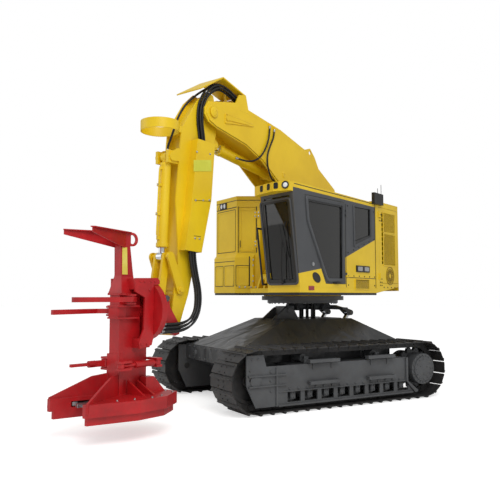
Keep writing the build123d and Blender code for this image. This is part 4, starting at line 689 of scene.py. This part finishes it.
def gapLine(u0, z0, u1, z1, width=0.012, height=0.002):  # a dark joint line between two points of a face
    sunk = 0.002
    along = np.array([u1 - u0, z1 - z0])
    length = np.linalg.norm(along)
    along = along / length
    across = np.array([-along[1], along[0]])
    square = np.array(rectangle(0, -width / 2, length, width / 2))
    points, faces = slab((u0, z0) + square @ np.stack([along, across]), height + sunk, 0.0005)
    return points - np.array([0, 0, sunk]), faces


def leaf(u0, z0, u1, z1, out=0.006):  # a pressed door leaf: raised border round a sunk field, and the gap round it
    profile = [(-0.035, 0), (-0.03, out), (-0.004, out), (0, 0)]
    edge = rimShell(roundedOutline(rectangle(u0, z0, u1, z1), 0.02), profile)
    gap = flatRim(rectangle(u0 - 0.008, z0 - 0.008, u1 + 0.008, z1 + 0.008), 0.022, -0.006, 0.004, 0.002, -0.001)
    return edge, gap


knee = np.array((-0.73, -1.16, 0))
lowerKnee = knee + np.array((0, -0.06, 0))
rightFace, leftFace = (-0.3162, -0.9487, 0), (0.6, -0.8, 0)
leaves = [(knee, rightFace, (-0.7, 2.72, -0.05, 3.52)), (lowerKnee, rightFace, (-0.7, 2.06, -0.42, 2.44)),
          (lowerKnee, rightFace, (-0.36, 2.06, -0.03, 2.44)), (lowerKnee, leftFace, (0.03, 2.06, 0.27, 2.44))]
gaps = [  # origin, face, ends and sometimes the width
    (knee, rightFace, (-0.755, 3.7, -0.002, 3.7)), (knee, leftFace, (0.002, 3.7, 0.445, 3.7)),
    (knee, rightFace, (-0.755, 3.572, -0.002, 3.572)), (lowerKnee, rightFace, (-0.755, 2.53, -0.002, 2.53)),
    (knee, leftFace, (0.028, 2.69, 0.028, 3.58)), (knee, leftFace, (0.382, 2.69, 0.382, 3.58)),
    (lowerKnee, leftFace, (0.28, 2.02, 0.28, 2.62, 0.02))]
yellowParts, darkParts = [], []
for origin, normal, corners in leaves:
    edge, gap = leaf(*corners)
    yellowParts.append(onPlane(edge, origin, normal))
    darkParts.append(onPlane(gap, origin, normal))
darkParts += [onPlane(gapLine(*line), origin, normal) for origin, normal, line in gaps]
addPiece("engine_leaves", yellowParts, "upper", yellow)
addPiece("engine_gaps", darkParts, "upper", black)
addFlat("service_door_border", [leaf(0.055, 2.72, 0.355, 3.53)[0]], knee, leftFace, yellow, "service_panel")
pull = tubeShell([(0.07, 2.8, 0.0), (0.07, 2.8, 0.035), (0.07, 2.92, 0.035), (0.07, 2.92, 0.0)], 0.007, 8)
addFlat("service_door_pull", [pull], knee, leftFace, black, "service_panel")
lampBox = [slab(rectangle(-0.6, 3.575, -0.36, 3.695), 0.016, 0.004), gapLine(-0.7, 3.58, -0.62, 3.69, 0.014),
           gapLine(-0.62, 3.69, -0.6, 3.69, 0.014)]
addFlat("engine_lamp_box", lampBox, knee, rightFace, black)
lamps = [slab(circle(24) * (0.034, 0.046) + (u, 3.635), 0.024, 0.006) for u in (-0.535, -0.425)]
addFlat("engine_lamps", lamps, knee, rightFace, (clearLens, "grey_paint"))
hingePlates = [onPlane(brick((0.335, z, 0), (0.435, z + 0.13, 0.01), 0.003), knee, leftFace) for z in (2.8, 3.36)]
hingePlates.append(onPlane(brick((0.05, 2.02, 0), (0.43, 2.055, 0.012), 0.003), lowerKnee, leftFace))
addPiece("engine_hinge_plates", hingePlates, "upper", yellow)
frontBolts = [(u, z, 0.01) for z in (2.83, 2.9, 3.39, 3.46) for u in (0.355, 0.415)]
lowBolts = [(u, 2.037, 0.012) for u in (0.09, 0.2, 0.31, 0.4)] + [(0.35, z, 0.0) for z in (2.15, 2.25, 2.45, 2.55)]
addPiece("engine_bolts", [boltsOn(origin + np.array(spots) @ frameFor(leftFace).T, leftFace, 0.011)
                          for origin, spots in ((knee, frontBolts), (lowerKnee, lowBolts))], "upper", zinc)
print("engine housing dressed")

# Rams: gland rings with bolts at the barrels' mouths, clamps, ports, and the tilt ram's side tube


def alongRam(base, tip, x):  # place and axes of a ram: x across, y to its front, z from base to tip
    start = np.array((x, *base))
    ahead = unit(np.array((x, *tip)) - start)
    return start, np.stack([toLeft, np.cross(ahead, toLeft), ahead], 1)


hoistRam, tiltRam = ((-1.000, 2.205), (-0.165, 3.09)), ((-3.76, 3.96), (-3.83, 2.45))
rams = [  # base and tip, x, barrel radius, rod radius, barrel length, body
    (hoistRam, 0.15, 0.085, 0.048, 0.895, "hoist_barrels"), (hoistRam, -0.15, 0.085, 0.048, 0.895, "hoist_barrels"),
    (((-1.05, 4.092), (-2.76, 4.333)), 0.0, 0.088, 0.052, 1.525, "stick_barrel"),
    (tiltRam, 0.0, 0.082, 0.046, 1.365, "tilt_barrel")]
for number, (line, x, barrel, rod, reach, body) in enumerate(rams):
    start, axes = alongRam(*line, x)
    lip = 0.003 if body == "tilt_barrel" else 0.007  # the tilt ram lies close before the stick
    gland = revolved([(rod + 0.002, 0.006), (rod + 0.01, 0.01), (barrel - 0.004, 0.01), (barrel + lip, 0.004),
                      (barrel + lip, -0.055), (barrel + 0.001, -0.062), (barrel + 0.001, -0.07),
                      (rod + 0.002, -0.07)], 32)
    clamp = revolved([(barrel, 0.1), (barrel + lip, 0.104), (barrel + lip, 0.136), (barrel, 0.14)], 32)
    ports = [brick((-0.024, barrel - 0.01, z), (0.024, barrel + 0.026, z + 0.05), 0.004)
             for z in (0.16, reach - 0.15)]
    shells = [stamped(gland, [start + axes[:, 2] * reach], axes)]
    shells += [stamped(shell, [start], axes) for shell in [clamp] + ports]
    addPiece(f"ram_gland_{number}", shells, body, yellow)
    spots = raised(circle(8) * (rod + barrel) / 2, reach + 0.009)
    addPiece(f"ram_bolts_{number}", [stamped(boltShell(0.007), start + spots @ axes.T, axes)], body, zinc)
start, axes = alongRam(*tiltRam, 0.0)
sideWay = [(0, 0.1, 0.18), (0, 0.118, 0.2), (0, 0.12, 0.26), (0, 0.12, 1.1), (0, 0.118, 1.19), (0, 0.1, 1.22)]
sideTube = [tubeShell(sideWay, 0.013, 12)]
sideTube += [brick((-0.028, 0.08, z), (0.028, 0.14, z + 0.045), 0.004) for z in (0.42, 0.86)]
addPiece("tilt_side_tube", [stamped(shell, [start], axes) for shell in sideTube], "tilt_barrel", yellow)
clampBolts = start + np.array([(0, 0.14, 0.4425), (0, 0.14, 0.8825)]) @ axes.T
addPiece("tilt_clamp_bolts", [boltsOn(clampBolts, axes[:, 1], 0.01)], "tilt_barrel", zinc)

# Pins of the boom and the linkage: end plates with bolts

pinEnds = [  # y, z, outer x, radius, body, finish
    (-3.000, 4.79, 0.296, 0.088, "boom", yellow), (0.65, 2.65, 0.3, 0.1, "upper", yellow),
    (-1.05, 4.092, 0.271, 0.062, "boom", yellow), (-3.725, 1.382, 0.221, 0.052, "wrist", chassis),
    (-3.926, 1.836, 0.221, 0.046, "wrist", chassis), (-3.626, 1.965, 0.203, 0.046, "stick", yellow)]
for number, (y, z, x, radius, body, finish) in enumerate(pinEnds):
    shells = []
    for sign in (1, -1):
        profile = [(radius, 0), (radius, 0.008), (radius - 0.006, 0.012), (0.012, 0.014)]
        shells.append(roundOn([(sign * x, y, z)], (sign, 0, 0), profile, 28))
        spots = ringPlaces(3, radius * 0.6, (sign * (x + 0.012), y, z), (sign, 0, 0), 0.6)
        shells.append(boltsOn(spots, (sign, 0, 0), 0.009))
    addPiece(f"pin_plates_{number}", shells, body, finish)

# Stick and boom: hose box lid with its bolts, blank plate, joint lines

boxX, boomX = 0.3005, 0.2705
plate = [(-3.473, 3.93), (-3.471, 3.755), (-3.067, 3.821), (-3.068, 4.002)]
onFlank("hose_box_plate", [slab(plate, 0.004, 0.001)], boxX, (blankLabel, "yellow_paint"), "stick")
lidBolts = [(boxX, y, z) for y, z in ((-3.42, 3.32), (-3.25, 3.34), (-3.11, 3.36), (-3.43, 2.74), (-3.33, 2.74),
                                      (-3.4, 4.07), (-3.1, 4.09))]
addPiece("hose_box_bolts", [boltsOn(lidBolts, toLeft, 0.012)], "stick", zinc)
boomLines = [[(-2.311, 4.986), (-1.559, 4.935), (-0.343, 4.704), (-0.16, 4.643), (0.16, 4.398), (0.8, 4.033)],
             [(-3.08, 4.637), (-2.921, 4.577), (-2.154, 4.437), (-1.665, 4.247), (-1.345, 4.032), (-0.45, 3.457),
              (0.18, 3.087)]]
lines = [gapLine(*a, *b, 0.007, 0.001) for line in boomLines for a, b in zip(line[:-1], line[1:])]
onFlank("boom_joint_lines", lines, boomX, black, "boom")
slot = [(-2.705, 4.838), (-2.715, 4.672), (-2.52, 4.705), (-1.965, 4.782), (-1.985, 4.818)]
slotProfile = [(-0.012, 0), (-0.01, 0.012), (-0.003, 0.015), (0.004, 0.012), (0.006, 0)]
onFlank("boom_slot_rim", [rimShell(roundedOutline(slot, 0.02, 4), slotProfile)], 0.282, yellow, "boom")
boxLines = [gapLine(-3.455, 3.315, -3.075, 3.345, 0.008, 0.001), gapLine(-3.455, 2.775, -3.3, 2.775, 0.008, 0.001)]
onFlank("hose_box_lines", boxLines, 0.3, black, "stick")
print("rams, pins and stick dressed")

# Head: blank strip, bolt rows, weld beads, tooth tips

head = {"stripX": 0.0725, "bracketX": 0.261, "deckZ": 0.545, "saw": (0, -4.62), "sawZ": 0.455, "teeth": 18}
strip = [(-4.64, 2.165), (-4.545, 2.165), (-4.56, 2.54), (-4.645, 2.54)]
onFlank("mast_strip", [slab(strip, 0.004, 0.001)], head["stripX"], (paleLabel, "yellow_paint"), "head")
bracketBolts = [(-4.48, 2.075), (-4.4, 2.075), (-4.28, 2.075), (-4.2, 2.075), (-4.44, 1.21), (-4.34, 1.21),
                (-4.3, 1.95), (-4.2, 1.95)]
addPiece("bracket_bolts", [boltsOn([(s * head["bracketX"], y, z) for y, z in bracketBolts], (s, 0, 0), 0.013)
                           for s in (1, -1)], "head", red)
deckBolts = [(0.6, -4.55), (0.58, -4.36), (0.47, -4.05), (0.3, -4.02), (0.52, -4.78), (0.44, -5.0)]
deckSpots = [(s * x, y, head["deckZ"]) for s in (1, -1) for x, y in deckBolts]
addPiece("deck_bolts", [boltsOn(deckSpots, toSky, 0.014)], "head", zinc)


def weld(path, radius=0.006):  # a ripple bead laid along straight legs
    return tubeShell(evenly(path, 0.004, 4), radius, 6, across=(0.31, 0.17, 0.93), ridge=radius * 0.35, pitch=0.012)


footZ = head["deckZ"] + 0.002
mastFoot = [(-0.128, -4.715), (0.128, -4.715), (0.128, -4.64), (0.101, -4.64), (0.101, -4.33)]
welds = [weld([(s * x, y, footZ) for x, y in mastFoot]) for s in (1, -1)]
for s in (1, -1):
    for gusset in (-4.56, -4.39):
        for y in (gusset + 0.0145, gusset - 0.0145):
            welds.append(weld([(s * 0.105, y, footZ), (s * 0.485, y, footZ)], 0.005))
    welds.append(weld([(s * 0.139, -4.702, 1.907), (s * 0.139, -4.42, 1.907)]))
    welds.append(weld([(s * 0.0735, -4.652, 2.15), (s * 0.0735, -4.44, 2.15)], 0.004))
welds.append(weld([(-0.139, -4.703, 1.907), (0.139, -4.703, 1.907)]))
addPiece("head_welds", welds, "head", red)
tip = joined([brick((0.58, -0.024, -0.022), (0.601, 0.024, 0.022), 0.003),
              brick((0.572, -0.033, -0.016), (0.6, -0.026, 0.016), 0.002)])
toothTurns = turnsAboutZ(2 * np.pi * np.arange(head["teeth"]) / head["teeth"])
addPiece("saw_tooth_tips", [stamped(tip, [(*head["saw"], head["sawZ"])] * head["teeth"], toothTurns)], "saw", zinc)
discBolts = ringPlaces(12, 0.2, (*head["saw"], 0.441), toGround)
addPiece("saw_disc_bolts", [boltsOn(discBolts, toGround, 0.014)], "saw", zinc)
print("head dressed")

# Hoses: each set follows its points from one body to the next, with crimped fittings at both ends

crimp = revolved([(0.012, -0.004), (0.024, -0.004), (0.024, 0.016), (0.0205, 0.018), (0.0205, 0.05),
                  (0.0185, 0.056), (0.017, 0.056)], 12)  # for a hose of 17 mm radius


def hoseSet(name, node, routes, radius, bodies, sleeve=False):
    # tubes of one set in one mesh; between two bodies the set stays fixed in the world, or else it rides on one
    spacing, ridge = (0.008, 0.0022) if sleeve else (0.025, 0.0)
    paths = [splinePath(route, spacing) for route in routes]
    tubes = [tubeShell(path, radius, 10, ridge=ridge) for path in paths]
    finish = (sleevePlastic if sleeve else hoseRubber, "hose_rubber")
    piece = addPiece(name, tubes, bodies[0], finish, sharpAngle=60, ride=len(bodies) == 1)
    if len(bodies) == 2:
        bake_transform(piece)
    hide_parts(node)
    fitting = (crimp[0] * radius / 0.017, crimp[1])
    for label, at, inner, body in (("start", 0, 1, bodies[0]), ("end", -1, -2, bodies[-1])):
        shells = [stamped(fitting, [path[at]], frameFor(path[inner] - path[at], (1, 0, 0))) for path in paths]
        addPiece(f"{name}_{label}_fittings", shells, body, zinc)


# y and z of the outer hose, and which way the next hoses step in from it
noseWay = [(-2.27, 5.205, 0, -1), (-2.41, 5.262, 0, -1), (-2.58, 5.318, 0, -1), (-2.76, 5.338, 0.1, -1),
           (-2.94, 5.272, 0.5, -1), (-3.08, 5.15, 0.8, -0.7), (-3.2, 4.985, 1, -0.4), (-3.262, 4.79, 1, 0),
           (-3.262, 4.56, 1, 0), (-3.21, 4.33, 1, 0)]
noseRoutes = []
for out, inset in ((0.18, 0), (0.22, 0.023), (0.18, 0.046), (0.22, 0.069), (0.18, 0.092)):
    middle = [(out, y + inset * dy, z + inset * dz) for y, z, dy, dz in noseWay]
    noseRoutes.append([(out, -2.166, 5.205 - inset)] + middle + [(out, -3.21 + inset, 4.162)])
hoseSet("nose_hose_set", "nose_hoses", noseRoutes, 0.017, ("boom", "stick"))
hoopRoute = [(0.1, -2.64, 5.31), (0.1, -2.76, 5.31), (0.1, -2.95, 5.23), (0.1, -3.13, 5.11),
             (0.1, -3.3, 4.975), (0.1, -3.48, 4.8), (0.1, -3.61, 4.6), (0.096, -3.69, 4.4),
             (0.066, -3.74, 4.22), (0.03, -3.76, 4.12), (0.03, -3.76, 4.028)]
hoseSet("hoop_hose_line", "hoop_hose", [hoopRoute], 0.017, ("boom", "stick"))
headWay = [(-3.375, 2.63, -1, 0), (-3.375, 2.45, -1, 0), (-3.318, 2.19, -1, 0.1), (-3.25, 1.95, -1, 0.1),
           (-3.245, 1.76, -1, 0.2), (-3.3, 1.57, -0.8, 0.6), (-3.43, 1.43, -0.5, 0.85),
           (-3.62, 1.36, -0.2, 1), (-3.85, 1.345, 0, 1)]
headRoutes = []
for number in range(6):
    inset, out = 0.025 * number, 0.226 if number % 2 == 0 else 0.27
    way = [(out + 0.003 * step, y + inset * dy, z + inset * dz) for step, (y, z, dy, dz) in enumerate(headWay)]
    # the end stops at the wrist's sloped flank: its share of that slope comes from its distance to the wrist's axis
    endX, endZ = out + 0.024, 1.348 + inset
    share = (math.hypot(endX, 1.67 - endZ) - 0.017 - 0.27) / 0.16
    headRoutes.append(way + [(endX, -4.03 - 0.085 * share + 0.001, endZ)])
hoseSet("head_hose_set", "head_hoses", headRoutes, 0.0155,
        ("stick", "wrist"), sleeve=True)
ramRoute = [(0.299, -1.5, 4.89), (0.299, -1.5, 4.79), (0.313, -1.56, 4.61), (0.313, -1.66, 4.43),
            (0.303, -1.79, 4.27), (0.25, -1.94, 4.18), (0.172, -2.09, 4.18), (0.095, -2.202, 4.222)]
hoseSet("ram_hose_line", "ram_hose", [ramRoute], 0.015,
        ("boom", "stick_barrel"))
boomRoute = [(0.299, -1.36, 4.86), (0.299, -1.36, 4.742), (0.313, -1.49, 4.56), (0.315, -1.6, 4.35),
             (0.309, -1.58, 4.15), (0.272, -1.45, 4.01), (0.2, -1.26, 3.935), (0.2, -0.931, 3.96)]
hoseSet("boom_hose_line", "boom_hose", [boomRoute], 0.015, ("boom",))
print("hoses made")

# Operator's chair: stuffed cushions on a pedestal, consoles with levers, a screen on a post


def cushion(width, depth, thick, radius=0.05):
    # a stuffed pad: its rounded outline swells to mid height, then draws in over a crown of height t (1 - r^4) / 4
    outline = roundedOutline(rectangle(-width / 2, -depth / 2, width / 2, depth / 2), radius, 8)
    share = np.array([0.93, 0.985, 1.0, 0.99, 0.96, 0.9, 0.75, 0.5, 0.25, 0.05])
    height = np.array([0, 0.12, 0.4, 0.62, 0.78, 0.88, 0.96, 1.0, 1.0, 1.0]) * thick
    height[4:] += thick / 4 * (1 - share[4:] ** 4)
    return gridShell(np.stack([raised(outline * k, h) for k, h in zip(share, height)]))


chairX = 1.085
lean = math.atan2(0.07, 0.64)
backAxes = np.array([[-1, 0, 0], [0, math.sin(lean), -math.cos(lean)], [0, math.cos(lean), math.sin(lean)]])
cushions = [("seat_cushion", stamped(cushion(0.46, 0.52, 0.11), [(chairX, -1.15, 2.335)], np.eye(3)), 0.75),
            ("back_cushion", stamped(cushion(0.44, 0.52, 0.1), [(chairX, -0.845, 2.74)], backAxes), 0.75),
            ("head_cushion", stamped(cushion(0.26, 0.16, 0.08, 0.03), [(chairX, -0.805, 3.09)], backAxes), 0.8)]
for name, shell, fill in cushions:
    piece = addPiece(name, [shell], "upper", (chairFabric, "seat_fabric"), sharpAngle=80)
    if name == "seat_cushion":
        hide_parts("operator_seat")
chairParts = [brick((chairX - 0.12, -1.25, 2.051), (chairX + 0.12, -0.9, 2.24), 0.02),
              brick((chairX - 0.2, -1.36, 2.24), (chairX + 0.2, -0.9, 2.33), 0.02),
              stamped(brick((-0.21, -0.32, -0.03), (0.21, 0.42, -0.002), 0.01), [(chairX, -0.845, 2.76)], backAxes)]
lever = revolved([(0.028, 0.0), (0.024, 0.014), (0.012, 0.03), (0.011, 0.08), (0.02, 0.1), (0.023, 0.14),
                  (0.021, 0.185), (0.012, 0.2)], 14)
for s in (1, -1):
    armX = chairX + s * 0.28
    bracket = [(armX, -1.1, 2.45), (chairX + s * 0.26, -1.0, 2.29), (chairX + s * 0.18, -1.0, 2.29)]
    chairParts += [brick((armX - 0.033, -1.36, 2.4), (armX + 0.033, -0.96, 2.52), 0.012),
                   tubeShell(bracket, 0.018, 8, across=(0, 1, 0)), stamped(lever, [(armX, -1.29, 2.521)], np.eye(3))]
chairParts += [tubeShell([(0.86, -1.98, 2.051), (0.86, -1.98, 2.4), (0.86, -1.95, 2.62)], 0.02, 10),
               brick((0.78, -1.975, 2.6), (0.97, -1.945, 2.76), 0.008)]
addPiece("chair_frame_and_levers", chairParts, "upper", black)
print("chair made")

# Camera, lamps, floor

view = {"place": (6.574, -10.169, 1.874), "azimuth": 37.78, "pitch": 4.29, "lens": 43.92}
camera = bpy.data.objects.new("camera", bpy.data.cameras.new("camera"))
camera.data.lens = view["lens"]
camera.location = view["place"]
camera.rotation_euler = (math.radians(90 + view["pitch"]), 0, math.radians(view["azimuth"]))
bpy.context.scene.collection.objects.link(camera)
bpy.context.scene.camera = camera

whiteFloor, floorTree = newMaterial("paleFloorPaper")  # matt paper: takes the shadow, bright where the camera sees it
floorShader = addNode(floorTree, "BsdfPrincipled", {"Base Color": linear("#F2F2F2"), "Roughness": 0.9})
lift = product(floorTree, addNode(floorTree, "LightPath").outputs["Is Camera Ray"], 0.55)
floorGlow = addNode(floorTree, "Emission", {"Color": (1, 1, 1, 1), "Strength": lift})
floorSum = addNode(floorTree, "AddShader", {0: floorShader.outputs["BSDF"], 1: floorGlow.outputs[0]})
addNode(floorTree, "OutputMaterial", {"Surface": floorSum.outputs[0]})
floorHalf = 80
floorMesh = bpy.data.meshes.new("floor")
floorMesh.from_pydata([(*corner, 0) for corner in rectangle(-floorHalf, -floorHalf, floorHalf, floorHalf)], [],
                      [(0, 1, 2, 3)])
floorMesh.materials.append(whiteFloor)
floor = bpy.data.objects.new("floor", floorMesh)
bpy.context.scene.collection.objects.link(floor)

world = bpy.data.worlds.new("studio")
bpy.context.scene.world = world
world.use_nodes = True
worldTree = world.node_tree
worldTree.nodes.clear()
rays = addNode(worldTree, "LightPath")
shown = addNode(worldTree, "Math", {0: rays.outputs["Is Camera Ray"], 1: rays.outputs["Is Transmission Ray"]},
                operation="MAXIMUM")
soft = addNode(worldTree, "Background", {"Color": (1, 1, 1, 1), "Strength": 0.55})
white = addNode(worldTree, "Background", {"Color": (1, 1, 1, 1), "Strength": 1.0})
sky = addNode(worldTree, "MixShader", {0: shown.outputs[0], 1: soft.outputs[0], 2: white.outputs[0]})
addNode(worldTree, "OutputWorld", {"Surface": sky.outputs[0]})


def lamp(name, place, target, size, power):
    light = bpy.data.lights.new(name, "AREA")
    light.energy = power
    light.size = size
    holder = bpy.data.objects.new(name, light)
    holder.location = place
    holder.rotation_euler = (Vector(target) - Vector(place)).to_track_quat("-Z", "Y").to_euler()
    bpy.context.scene.collection.objects.link(holder)


lamp("keyLamp", (9, -9, 12), (0, -1, 2), 8, 950)
lamp("fillLamp", (-10, -10, 6), (0, -2, 2), 8, 160)

bpy.context.scene.view_settings.view_transform = "Standard"
